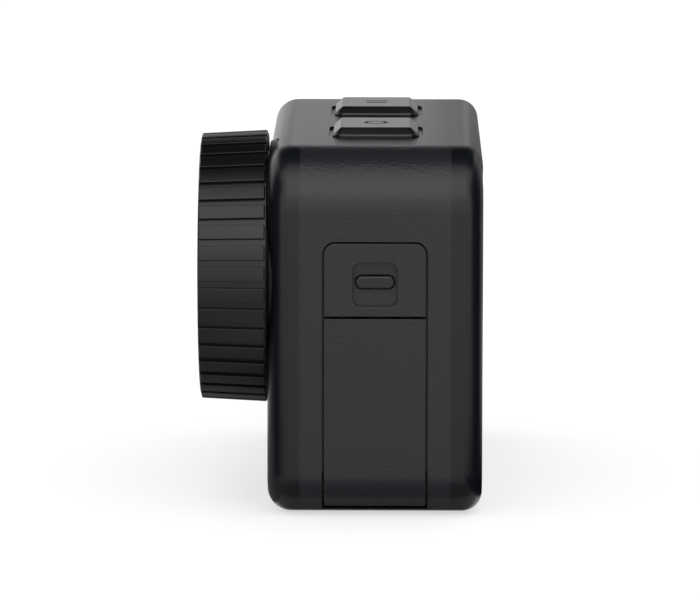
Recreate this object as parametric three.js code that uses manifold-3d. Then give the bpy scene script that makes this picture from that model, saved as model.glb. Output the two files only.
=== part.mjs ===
// Action camera with a ribbed twist-off lens ring, two top buttons, a battery door
// with a slide latch on one side and a hinged port cover on the other.
// Millimetres. +Z is up, the lens looks along -Y and the battery door faces +X.
// The origin is the bottom centre of the whole camera, lens ring included.

import * as THREE from 'three';
import { mergeVertices } from 'three/addons/utils/BufferGeometryUtils.js';
import Module from 'manifold-3d';

// Overall sizes
const bodyWidth = 71;
const bodyHeight = 51;
const overallDepth = 39.4;
const ringLength = 9.4;
const ringFrontGap = 0.2;
const bodyDepth = overallDepth - ringLength - ringFrontGap;
const cornerRadius = 6;
const frontFillet = 3.3;
const rearFillet = 2.8;

// Walls and clearances
const wall = 1.8;
const frontWall = 3.4;
const baseWall = 3;
const gap = 0.3;
const overrun = 1;

// Lens ring
const ringRearRadius = 19.15;
const ringTaper = 0.5;
const ringRise = 0.6;
const ringWall = 1.35;
const padHeight = 0.45;
const padCount = 40;
const padShare = 0.68;
const padFrontInset = 0.2;
const padRearInset = 0.3;
const ringLip = 0.7;
const ringLipWidth = 1.2;
const ringChamfer = 0.3;
const glassPocketStep = 1.15;
const glassThickness = 1.5;
const glassSealThickness = 0.5;
const glassSealWidth = 0.9;
const retainerThickness = 0.8;
const retainerWidth = 1.1;
const lugCount = 3;
const lugAngle = 50;
const lugThicknessShare = 0.204;
const lugInsetShare = 0.184;
const ringLugClear = 0.4;

// Lens mount
const mountFlangeStep = 0.35;
const mountGroove = 0.55;
const mountPocketDepth = 1.9;
const mountTubeWall = 1.6;
const mountTubeGap = 0.4;
const mountLugRise = 0.85;
const mountWebThickness = 1;
const mountSealShare = 0.143;
const screwCount = 4;
const screwHeadRadius = 1.1;
const screwHeadHeight = 0.6;
const screwRadius = 0.5;
const screwLength = 2.2;
const screwSeatGap = 0.1;

// Lens barrel, elements and sensor
const barrelFrontLength = 4.8;
const barrelRearGap = 1.7;
const barrelWall = 1.2;
const neckStep = 1.2;
const neckWall = 1.9;
const elementSag = 2.44;
const elementEdge = 0.8;
const elementHollowMargin = 2.7;
const elementHollowDepth = 1.4;
const innerElementSag = 0.7;
const innerElementEdge = 0.4;
const rearStep = 1.5;
const rearBoreLength = 1.5;
const keeperShare = 0.063;
const keeperLength = 0.5;
const domeSteps = 5;
const hoodWidth = 5.2;
const hoodThickness = 0.8;
const hoodRim = 0.6;
const hoodSteps = 3;
const domeRise = 1.3;
const sensorWidth = 11.4;
const sensorHeight = 8.6;
const sensorThickness = 0.7;
const sensorBoardSide = 22;
const sensorBoardClear = 0.4;
const boardThickness = 0.8;

// Battery door
const doorMargin = 0.75;
const doorGap = 0.35;
const doorSkin = 1.3;
const doorCornerRadius = 1.5;
const doorSill = 2;
const sillMargin = 1.2;
const knuckleRadius = 0.9;
const knuckleClear = 0.45;
const hingeAngle = 52;
const pinRadius = 0.4;
const pinClear = 0.1;
const pinEngagement = 2;
const doorFrameWeb = 0.7;
const doorFrameRim = 0.5;
const sealWidth = 0.7;
const sealDepth = 0.9;
const sealRadius = 1.6;

// Door latch
const dishShare = 0.433;
const dishRadius = 1.1;
const dishDepth = 1;
const dishEdgeDepth = 0.12;
const dishAbove = 2.65;
const dishBelow = 1.55;
const barEndGap = 0.35;
const barShare = 0.295;
const barThickness = 0.6;
const barRise = 0.3;
const barFloorGap = 0.25;
const latchTravel = 0.7;
const stemInset = 0.9;
const stemHeight = 0.6;
const stemClear = 0.1;
const latchPad = 0.4;
const latchPadMargin = 0.55;
const slideThickness = 0.6;
const slideLength = 6;
const noseInset = 1;
const catchDepth = 1.1;
const springRadius = 0.4;
const springLength = 3.1;

// Battery and its bay
const batteryRadius = 1.2;
const bayWall = 1;
const bayFloor = 7;
const bayTopDrop = 13;
const bayPortClear = 4.9;
const contactDepth = 2.2;
const contactMargin = 1.5;
const contactHeight = 5;
const contactLift = 3.5;

// Top buttons
const buttonLength = 14;
const buttonShare = 0.403;
const buttonRise = 1.35;
const buttonChamfer = 1.3;
const buttonRadius = 2.2;
const buttonOffset = 12.6;
const wellMargin = 0.6;
const wellDepth = 0.5;
const flangeMargin = 0.8;
const flangeThickness = 0.6;
const membraneThickness = 0.4;
const membraneDrop = 0.8;
const membraneMargin = 1.5;
const switchRadius = 3;
const switchHeight = 0.5;
const buttonBoardMargin = 3.6;
const postRadius = 1.2;

// Front screen, microphone and status light
const frontGlassRadius = 3;
const frontGlassThickness = 1;
const frontGlassRecess = 0.15;
const frontGlassLeft = 4.6;
const frontGlassRight = 4;
const frontGlassAbove = 7.5;
const frontGlassBelow = 15.5;
const frontPanelBorder = 1.2;
const frontPanelThickness = 1.1;
const micHoleRadius = 0.45;
const micHoleCount = 3;
const micHolePitch = 1.6;
const micHeight = 10.5;
const micDepth = 1.2;
const micSide = 5;
const lightRadius = 0.8;
const lightOffset = 7;

// Rear screen
const rearRim = 3.2;
const rearRimDepth = 3.4;
const rearGlassThickness = 1.1;
const rearGlassRecess = 0.3;
const rearPanelSideBorder = 4.5;
const rearPanelEndBorder = 3.5;
const rearPanelThickness = 1.4;
const rearFrameThickness = 3.1;
const rearWindowShare = 0.7;

// Port cover, sockets and card on the far side
const coverTop = 30;
const coverHinge = 9.9;
const coverMargin = 1.15;
const plugMargin = 0.4;
const plugHeight = 15.4;
const plugThickness = 1.4;
const plugRadius = 2;
const plugHeightAbove = 21;
const nickRadius = 0.7;
const nickLength = 6;
const socketWidth = 9;
const socketHeight = 3.3;
const socketLength = 7;
const socketWall = 0.35;
const tongueThickness = 0.7;
const tongueWidth = 6.6;
const portBoardHeight = 18.5;
const portBoardLength = 16.5;
const cardWidth = 11;
const cardThickness = 1;
const cardLength = 15;
const cageWall = 0.3;

// Main board, heat spreader and speaker
const mainBoardEndGap = 3.9;
const mainBoardTopDrop = 8;
const mainBoardBase = 9;
const mainBoardThickness = 1;
const chipThickness = 1.2;
const chipCount = 3;
const chipPitch = 8;
const spreaderInset = 2;
const speakerDepth = 2.5;
const speakerWidth = 11;
const speakerShare = 0.67;
const slotCount = 5;
const slotPitch = 1.8;
const slotShare = 0.667;
const slotRadius = 0.4;

// Base
const insertRadius = 5;
const insertBore = 2.6;
const insertHeight = 5.2;
const insertRecess = 0.2;
const insertFloor = 0.5;
const insertBossWall = 1.7;
const clipSpacing = 40;
const clipLength = 12;
const clipWidth = 3;
const clipRadius = 0.75;
const clipDepth = 1.6;

// Roundness of arcs and turned pieces
const hiddenArcSteps = 1;
const arcSteps = 3;
const fineArcSteps = 4;
const fullRoundShare = 0.99;
const turnSteps = 40;
const innerTurnSteps = 32;
const smallTurnSteps = 16;
const tinyTurnSteps = 8;
const baseTurnSteps = 24;
const bevelSteps = 4;

// Places worked out from the sizes
const sideX = bodyWidth / 2;
const rearY = overallDepth / 2;
const ringFrontY = -overallDepth / 2;
const frontY = rearY - bodyDepth;
const midY = (frontY + rearY) / 2;
const lensX = sideX - ringRearRadius;
const lensHeight = bodyHeight + ringRise - ringRearRadius;
const ringRearY = frontY - ringFrontGap;
const cavityFrontY = frontY + frontWall;
const cavityRearY = rearY - rearRimDepth;
const topZ = bodyHeight;
const ceilingZ = topZ - wall;

const wasm = await Module();
wasm.setup();
const camera = new THREE.Group();

// A closed geometry becomes a solid that can be joined and cut.
function toSolid(geometry) {
  const bare = geometry.clone();
  bare.deleteAttribute('normal');
  bare.deleteAttribute('uv');
  const merged = mergeVertices(bare);
  const index = merged.index.array;
  const corners = [];
  for (let i = 0; i < index.length; i += 3) {
    const [a, b, c] = [index[i], index[i + 1], index[i + 2]];
    if (a !== b && b !== c && c !== a) {
      corners.push(a, b, c);
    }
  }
  const mesh = new wasm.Mesh({
    numProp: 3,
    vertProperties: new Float32Array(merged.attributes.position.array),
    triVerts: new Uint32Array(corners),
  });
  return new wasm.Manifold(mesh);
}

function toGeometry(solid) {
  const mesh = solid.getMesh();
  const geometry = new THREE.BufferGeometry();
  geometry.setAttribute('position', new THREE.BufferAttribute(mesh.vertProperties, 3));
  geometry.setIndex(new THREE.BufferAttribute(mesh.triVerts, 1));
  geometry.computeVertexNormals();
  return geometry;
}

const cut = (solid, ...tools) => tools.reduce((left, tool) => left.subtract(tool), solid);
const join = (solid, ...others) => others.reduce((sum, other) => sum.add(other), solid);
const meet = (a, b) => a.intersect(b);

// Axes that carry a flat outline to the plane it is drawn for.
const alongX = new THREE.Matrix4().makeBasis(
  new THREE.Vector3(0, 1, 0),
  new THREE.Vector3(0, 0, 1),
  new THREE.Vector3(1, 0, 0),
);
const alongY = new THREE.Matrix4().makeBasis(
  new THREE.Vector3(1, 0, 0),
  new THREE.Vector3(0, 0, 1),
  new THREE.Vector3(0, -1, 0),
);

function extruded(shape, depth, steps = arcSteps, bevel = {}) {
  return new THREE.ExtrudeGeometry(shape, {
    depth,
    steps: 1,
    curveSegments: steps,
    bevelEnabled: false,
    ...bevel,
  });
}

// An outline drawn in Y and Z, running from x0 to x1.
function prismX(shape, x0, x1, steps) {
  const geometry = extruded(shape, x1 - x0, steps).applyMatrix4(alongX);
  return toSolid(geometry.translate(x0, 0, 0));
}

// An outline drawn in X and Z, running from y0 to y1.
function prismY(shape, y0, y1, steps) {
  const geometry = extruded(shape, y1 - y0, steps).applyMatrix4(alongY);
  return toSolid(geometry.translate(0, y1, 0));
}

// An outline drawn in X and Y, running from z0 to z1.
function prismZ(shape, z0, z1, steps) {
  return toSolid(extruded(shape, z1 - z0, steps).translate(0, 0, z0));
}

function rounded(width, height, radius, cx = 0, cy = 0) {
  const [x0, x1] = [cx - width / 2, cx + width / 2];
  const [y0, y1] = [cy - height / 2, cy + height / 2];
  const shape = new THREE.Shape();
  shape.moveTo(x1, y0 + radius);
  shape.lineTo(x1, y1 - radius);
  shape.absarc(x1 - radius, y1 - radius, radius, 0, Math.PI / 2);
  shape.lineTo(x0 + radius, y1);
  shape.absarc(x0 + radius, y1 - radius, radius, Math.PI / 2, Math.PI);
  shape.lineTo(x0, y0 + radius);
  shape.absarc(x0 + radius, y0 + radius, radius, Math.PI, 1.5 * Math.PI);
  shape.lineTo(x1 - radius, y0);
  shape.absarc(x1 - radius, y0 + radius, radius, 1.5 * Math.PI, 2 * Math.PI);
  return shape;
}

// A rectangle whose two upper corners are round.
function arched(width, bottom, top, radius, cx) {
  const [x0, x1] = [cx - width / 2, cx + width / 2];
  const shape = new THREE.Shape();
  shape.moveTo(x0, bottom);
  shape.lineTo(x1, bottom);
  shape.lineTo(x1, top - radius);
  shape.absarc(x1 - radius, top - radius, radius, 0, Math.PI / 2);
  shape.lineTo(x0 + radius, top);
  shape.absarc(x0 + radius, top - radius, radius, Math.PI / 2, Math.PI);
  shape.lineTo(x0, bottom);
  return shape;
}

function block(x0, x1, y0, y1, z0, z1) {
  const geometry = new THREE.BoxGeometry(x1 - x0, y1 - y0, z1 - z0);
  return toSolid(geometry.translate((x0 + x1) / 2, (y0 + y1) / 2, (z0 + z1) / 2));
}

function rodY(radius, y0, y1, cx, cz, steps = smallTurnSteps) {
  const geometry = new THREE.CylinderGeometry(radius, radius, y1 - y0, steps);
  return toSolid(geometry.translate(cx, (y0 + y1) / 2, cz));
}

function rodZ(radius, z0, z1, cx, cy, steps = smallTurnSteps) {
  const geometry = new THREE.CylinderGeometry(radius, radius, z1 - z0, steps);
  geometry.rotateX(Math.PI / 2);
  return toSolid(geometry.translate(cx, cy, (z0 + z1) / 2));
}

// A closed outline of [radius, place] corners turned about its own axis.
function turned(corners, steps) {
  let area = 0;
  corners.forEach(([r, y], i) => {
    const [nextR, nextY] = corners[(i + 1) % corners.length];
    area += r * nextY - nextR * y;
  });
  const ordered = area < 0 ? [...corners].reverse() : corners;
  const points = [...ordered, ordered[0]].map(([r, y]) => new THREE.Vector2(r, y));
  return new THREE.LatheGeometry(points, steps);
}

// Turned about the lens axis, which runs along Y.
function turnedLens(corners, steps = innerTurnSteps) {
  return toSolid(turned(corners, steps).translate(lensX, 0, lensHeight));
}

// A sector of a ring about the lens axis.
function ringSector(inner, outer, centre, width, y0, y1) {
  const half = THREE.MathUtils.degToRad(width / 2);
  const middle = THREE.MathUtils.degToRad(centre);
  const shape = new THREE.Shape();
  shape.absarc(lensX, lensHeight, outer, middle - half, middle + half, false);
  shape.absarc(lensX, lensHeight, inner, middle + half, middle - half, true);
  return prismY(shape, y0, y1);
}

// The points of a spherical lens face from the axis out to its edge.
function lensFace(vertexY, sag, radius, steps = arcSteps) {
  const curve = (radius * radius + sag * sag) / (2 * sag);
  const points = [];
  for (let i = 0; i <= steps; i += 1) {
    const r = (radius * i) / steps;
    points.push([r, vertexY + curve - Math.sign(curve) * Math.sqrt(curve * curve - r * r)]);
  }
  return points;
}

const finishes = {
  texturedPlastic: { color: 0x2b2c2e, roughness: 0.75, metalness: 0 },
  satinPlastic: { color: 0x232425, roughness: 0.55, metalness: 0 },
  ringPlastic: { color: 0x1c1d1f, roughness: 0.5, metalness: 0 },
  blackAluminium: { color: 0x18191b, roughness: 0.45, metalness: 0.6 },
  clearGlass: { color: 0xdfe6ea, roughness: 0.05, metalness: 0 },
  coatedGlass: { color: 0x5a5f86, roughness: 0.05, metalness: 0 },
  screenGlass: { color: 0x08090a, roughness: 0.08, metalness: 0 },
  rubber: { color: 0x141414, roughness: 0.9, metalness: 0 },
  steel: { color: 0x9a9ca0, roughness: 0.35, metalness: 1 },
  brass: { color: 0xb08d4c, roughness: 0.4, metalness: 1 },
  aluminium: { color: 0xb4b6b8, roughness: 0.45, metalness: 1 },
  circuitBoard: { color: 0x1d4a33, roughness: 0.6, metalness: 0 },
  chipBlack: { color: 0x101112, roughness: 0.6, metalness: 0 },
  batteryWrap: { color: 0x2a2b2d, roughness: 0.6, metalness: 0 },
  lightLens: { color: 0xd8dcdc, roughness: 0.2, metalness: 0 },
};

function addPiece(name, solid, finish) {
  const material = new THREE.MeshStandardMaterial(finishes[finish]);
  const mesh = new THREE.Mesh(toGeometry(solid), material);
  mesh.name = name;
  camera.add(mesh);
}

// Both flaps turn on a knuckle whose round nose just touches the outer skin.
const hingeRad = THREE.MathUtils.degToRad(hingeAngle);
const cornerX = sideX - cornerRadius;
const cornerZ = cornerRadius;
const pivotReach = cornerRadius - knuckleRadius;
const doorPivotX = cornerX + pivotReach * Math.cos(hingeRad);
const doorPivotZ = cornerZ - pivotReach * Math.sin(hingeRad);
const coverPivotX = -sideX + knuckleRadius;
const seatRadius = knuckleRadius + knuckleClear;
const pinBore = pinRadius + pinClear;

// The skin of the battery door seen from the front: straight above, round at the corner.
function doorBand(outerRadius, innerRadius, top) {
  const shape = new THREE.Shape();
  shape.moveTo(cornerX + outerRadius, top);
  shape.lineTo(cornerX + innerRadius, top);
  shape.lineTo(cornerX + innerRadius, cornerZ);
  shape.absarc(cornerX, cornerZ, innerRadius, 0, -hingeRad, true);
  shape.absarc(cornerX, cornerZ, outerRadius, -hingeRad, 0, false);
  shape.lineTo(cornerX + outerRadius, top);
  return shape;
}

// Lens ring and mount, from the outside inwards
const ringFrontRadius = ringRearRadius - ringTaper;
const ringBore = ringRearRadius - padHeight - ringWall;
const glassPocketRadius = ringBore - glassPocketStep;
const ringLipRadius = glassPocketRadius - ringLipWidth;
const mountRadius = ringBore + mountFlangeStep;
const mountPocketRadius = mountRadius + mountGroove;
const mountLugRadius = ringBore - gap;
const mountTubeRadius = mountLugRadius - mountLugRise;
const mountTubeBore = mountTubeRadius - mountTubeWall;
const ringLugRadius = mountTubeRadius + ringLugClear;

// Lens barrel and its elements
const barrelRadius = mountTubeBore - hoodWidth;
const barrelNeckRadius = barrelRadius - neckStep;
const elementPocketRadius = barrelRadius - barrelWall;
const elementRadius = elementPocketRadius - gap;
const elementHollowRadius = elementRadius - elementHollowMargin;
const innerBore = barrelNeckRadius - neckWall;
const innerElementRadius = innerBore - gap;
const rearBore = innerBore - rearStep;
const mountWebBore = barrelRadius + gap;
const screwCircle = (mountWebBore + mountTubeBore) / 2;
const screwStart = Math.PI / screwCount;

// Places along the lens axis
const lipRearY = ringFrontY + ringLip;
const glassSealY = lipRearY + gap;
const coverGlassY = glassSealY + glassSealThickness + gap;
const coverGlassRearY = coverGlassY + glassThickness;
const retainerY = coverGlassRearY + gap;
const retainerRearY = retainerY + retainerThickness;
const mountFloorY = frontY + mountPocketDepth;
const mountRearY = mountFloorY - gap;
const mountFlangeY = ringRearY + gap;
const mountTubeY = retainerRearY + mountTubeGap;
const mountTubeLength = mountFlangeY - mountTubeY;
const lugThickness = mountTubeLength * lugThicknessShare;
const ringLugRearY = ringRearY - mountTubeLength * lugInsetShare;
const mountLugRearY = ringLugRearY - lugThickness - gap;
const screwHoleRadius = screwRadius + pinClear;
const screwRearY = mountRearY - mountWebThickness + screwLength;
const barrelRearY = cavityFrontY + barrelRearGap;
const sensorY = barrelRearY + gap;
const sensorBoardY = sensorY + sensorThickness + gap;

// Battery and its bay, behind the sensor board
const sillOuterX = sideX - doorSkin - gap;
const sillInnerX = sillOuterX - doorSill;
const bayFrontY = sensorBoardY + boardThickness + sensorBoardClear;
const bayInnerWidth = 2 * (midY - bayFrontY - bayWall);
const bayTop = bodyHeight - bayTopDrop;
const bayInnerHeight = bayTop - bayWall - bayFloor;
const bayMidZ = bayFloor + bayInnerHeight / 2;
const batteryThickness = bayInnerWidth - 2 * gap;
const batteryHeight = bayInnerHeight - 2 * gap;
const portBoardX = -sillInnerX + gap;
const portBoardEndX = portBoardX + portBoardLength;
const bayEndX = portBoardEndX + bayPortClear;
const mainBoardFrontY = midY + bayInnerWidth / 2 + bayWall + gap;

// Battery door and its latch
const doorWidth = bayInnerWidth + 2 * doorMargin;
const doorTop = bayTop + gap;
const pocketWidth = doorWidth + 2 * doorGap;
const pocketTop = doorTop + doorGap;
const pinHalf = pocketWidth / 2 + pinEngagement;
const dishSide = doorWidth * dishShare;
const dishHeight = doorTop - dishAbove - dishSide / 2;
const doorSplit = dishHeight - dishSide / 2 - dishBelow;
const barLength = dishSide - 2 * barEndGap;
const barHeight = dishSide * barShare;
const stemWidth = barLength - 2 * stemInset;
const latchPadSide = dishSide + 2 * latchPadMargin;
const slideWidth = dishSide;
const noseWidth = slideWidth - 2 * noseInset;

// Port cover and the speaker above it
const plugWidth = cardWidth + 2 * plugMargin;
const coverWidth = plugWidth + 2 * coverMargin;
const coverPocketWidth = coverWidth + 2 * doorGap;
const coverPocketTop = coverTop + doorGap;
const coverPinHalf = coverPocketWidth / 2 + pinEngagement;
const coverSillTop = coverPocketTop + sillMargin;
const speakerRoom = bodyHeight - cornerRadius - coverSillTop;
const speakerMidZ = coverSillTop + speakerRoom / 2;
const speakerHeight = speakerRoom * speakerShare;

// Buttons
const buttonPlaces = [buttonOffset, -buttonOffset];
const buttonWidth = bodyDepth * buttonShare;
const flangeTopZ = ceilingZ - gap;
const flangeBottomZ = flangeTopZ - flangeThickness;
const membraneTopZ = flangeBottomZ - membraneDrop;
const switchTopZ = membraneTopZ - membraneThickness - gap;
const buttonBoardTopZ = switchTopZ - switchHeight - gap;
const boardHalfX = buttonOffset + buttonLength / 2 + membraneMargin + buttonBoardMargin;
const postX = boardHalfX - postRadius;

// Front screen
const frontGlassX0 = -sideX + frontGlassLeft;
const frontGlassX1 = lensX - mountPocketRadius - frontGlassRight;
const frontGlassWidth = frontGlassX1 - frontGlassX0;
const frontGlassHeight = bodyHeight - frontGlassAbove - frontGlassBelow;
const frontGlassX = (frontGlassX0 + frontGlassX1) / 2;
const frontGlassZ = frontGlassBelow + frontGlassHeight / 2;
const frontGlassY = frontY + frontGlassRecess;
const frontPanelY = frontGlassY + frontGlassThickness + gap;
const frontPocketY = frontPanelY + frontPanelThickness + gap;

// Outer body: one outline with a round front edge meets one with a round rear edge.
function bodySolid() {
  const outline = rounded(bodyWidth, bodyHeight, cornerRadius, 0, bodyHeight / 2);
  const rolled = (fillet, y1) => {
    const length = bodyDepth + cornerRadius;
    const bevel = {
      bevelEnabled: true,
      bevelThickness: fillet,
      bevelSize: fillet,
      bevelOffset: -fillet,
      bevelSegments: bevelSteps,
    };
    const geometry = extruded(outline, length - 2 * fillet, fineArcSteps, bevel);
    geometry.translate(0, 0, fillet).applyMatrix4(alongY);
    return toSolid(geometry.translate(0, y1, 0));
  };
  const frontRolled = rolled(frontFillet, frontY + bodyDepth + cornerRadius);
  const rearRolled = rolled(rearFillet, rearY);
  return meet(frontRolled, rearRolled);
}

// Recess for the battery door, with the round seat of its knuckle
function doorPocket() {
  const inner = cornerRadius - doorSkin - gap;
  const y0 = midY - pocketWidth / 2;
  const y1 = midY + pocketWidth / 2;
  const band = prismY(doorBand(cornerRadius + overrun, inner, pocketTop), y0, y1);
  const outline = arched(pocketWidth, -overrun, pocketTop, doorCornerRadius + doorGap, midY);
  const framed = meet(band, prismX(outline, 0, sideX + 2 * overrun));
  return join(framed, rodY(seatRadius, y0, y1, doorPivotX, doorPivotZ));
}

function coverPocket() {
  const y0 = midY - coverPocketWidth / 2;
  const y1 = midY + coverPocketWidth / 2;
  const radius = doorCornerRadius + doorGap;
  const outline = arched(coverPocketWidth, coverHinge, coverPocketTop, radius, midY);
  const panel = prismX(outline, -sideX - overrun, -sillOuterX);
  return join(panel, rodY(seatRadius, y0, y1, coverPivotX, coverHinge));
}

function addHousing() {
  const innerWidth = bodyWidth - 2 * wall;
  const innerHeight = bodyHeight - wall - baseWall;
  const innerMidZ = baseWall + innerHeight / 2;
  const cavity = rounded(innerWidth, innerHeight, cornerRadius - wall, 0, innerMidZ);
  const rearWidth = bodyWidth - 2 * rearRim;
  const rearHeight = bodyHeight - 2 * rearRim;
  const rearHole = rounded(rearWidth, rearHeight, cornerRadius - rearRim, 0, bodyHeight / 2);
  let shell = cut(
    bodySolid(),
    prismY(cavity, cavityFrontY, cavityRearY, hiddenArcSteps),
    prismY(rearHole, cavityRearY - overrun, rearY + overrun),
  );

  // Sills that back the two flaps, a boss for the tripod insert and the board posts
  const innerX = sideX - wall;
  const sillHalf = pocketWidth / 2 + sillMargin;
  const doorSillTop = pocketTop + sillMargin;
  const coverSillHalf = coverPocketWidth / 2 + sillMargin;
  const coverSillBase = coverHinge - seatRadius - sillMargin;
  const bossTop = bayFloor - bayWall - gap;
  shell = join(
    shell,
    block(sillInnerX, innerX + gap, midY - sillHalf, midY + sillHalf, baseWall - gap, doorSillTop),
    block(-innerX - gap, -sillInnerX, midY - coverSillHalf, midY + coverSillHalf,
      coverSillBase, coverSillTop),
    rodZ(insertRadius + insertBossWall, baseWall - gap, bossTop, 0, midY, baseTurnSteps),
  );
  for (const side of [-1, 1]) {
    shell = join(
      shell,
      rodZ(postRadius, buttonBoardTopZ + gap, ceilingZ + gap, side * postX, midY, tinyTurnSteps),
    );
  }

  // Flap pockets, hinge bores and the openings behind the flaps
  const passage = rounded(bayInnerWidth, bayInnerHeight, sealRadius + gap, midY, bayMidZ);
  const plugHole = rounded(
    plugWidth + 2 * gap, plugHeight + 2 * gap, plugRadius + gap, midY, plugHeightAbove,
  );
  const catchTop = bayMidZ + bayInnerHeight / 2 + catchDepth;
  shell = cut(
    shell,
    doorPocket(),
    rodY(pinBore, midY - pinHalf - gap, midY + pinHalf + gap, doorPivotX, doorPivotZ),
    prismX(passage, sillInnerX - overrun, sideX, hiddenArcSteps),
    block(sillOuterX - latchPad - slideThickness - gap, sillOuterX + gap,
      midY - noseWidth / 2 - gap, midY + noseWidth / 2 + gap, bayMidZ, catchTop),
    coverPocket(),
    rodY(pinBore, midY - coverPinHalf - gap, midY + coverPinHalf + gap, coverPivotX, coverHinge),
    prismX(plugHole, -sideX, -sillInnerX + overrun, hiddenArcSteps),
  );

  // Button wells: a shallow recess and the guide hole below it
  for (const x of buttonPlaces) {
    const well = rounded(
      buttonLength + 2 * wellMargin, buttonWidth + 2 * wellMargin,
      buttonRadius + wellMargin, x, midY,
    );
    const guide = rounded(
      buttonLength + 2 * gap, buttonWidth + 2 * gap, buttonRadius + gap, x, midY,
    );
    shell = cut(
      shell,
      prismZ(well, topZ - wellDepth, topZ + overrun),
      prismZ(guide, ceilingZ - overrun, topZ),
    );
  }

  // Front: lens pocket, barrel hole, screw holes, screen pocket, microphone and light holes
  const glassHole = rounded(
    frontGlassWidth + 2 * gap, frontGlassHeight + 2 * gap,
    frontGlassRadius + gap, frontGlassX, frontGlassZ,
  );
  shell = cut(
    shell,
    rodY(mountPocketRadius, frontY - overrun, mountFloorY, lensX, lensHeight, turnSteps),
    rodY(barrelNeckRadius + gap, frontY, cavityFrontY + overrun, lensX, lensHeight, turnSteps),
    prismY(glassHole, frontY - overrun, frontPocketY),
    rodY(lightRadius + gap, frontY - overrun, cavityFrontY + overrun,
      frontGlassX + lightOffset, micHeight),
  );
  for (let i = 0; i < screwCount; i += 1) {
    const angle = screwStart + (i * 2 * Math.PI) / screwCount;
    const x = lensX + screwCircle * Math.cos(angle);
    const z = lensHeight + screwCircle * Math.sin(angle);
    shell = cut(shell, rodY(screwHoleRadius, frontY, screwRearY + gap, x, z, tinyTurnSteps));
  }
  for (let i = 0; i < micHoleCount; i += 1) {
    const x = frontGlassX + (i - (micHoleCount - 1) / 2) * micHolePitch;
    shell = cut(
      shell,
      rodY(micHoleRadius, frontY - overrun, cavityFrontY + overrun, x, micHeight, tinyTurnSteps),
    );
  }

  // Speaker slots on the far side
  for (let i = 0; i < slotCount; i += 1) {
    const y = midY + (i - (slotCount - 1) / 2) * slotPitch;
    const slot = rounded(
      2 * slotRadius, speakerHeight * slotShare, slotRadius * fullRoundShare, y, speakerMidZ,
    );
    shell = cut(shell, prismX(slot, -sideX - overrun, -innerX + overrun, hiddenArcSteps));
  }

  // Base: tripod insert hole and the two notches for a quick-release clip
  shell = cut(
    shell,
    rodZ(insertRadius + gap, -overrun, bossTop + overrun, 0, midY, baseTurnSteps),
  );
  for (const side of [-1, 1]) {
    const notch = rounded(clipWidth, clipLength, clipRadius, (side * clipSpacing) / 2, midY);
    shell = cut(shell, prismZ(notch, -overrun, clipDepth, hiddenArcSteps));
  }
  addPiece('housing', shell, 'texturedPlastic');
}

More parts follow.
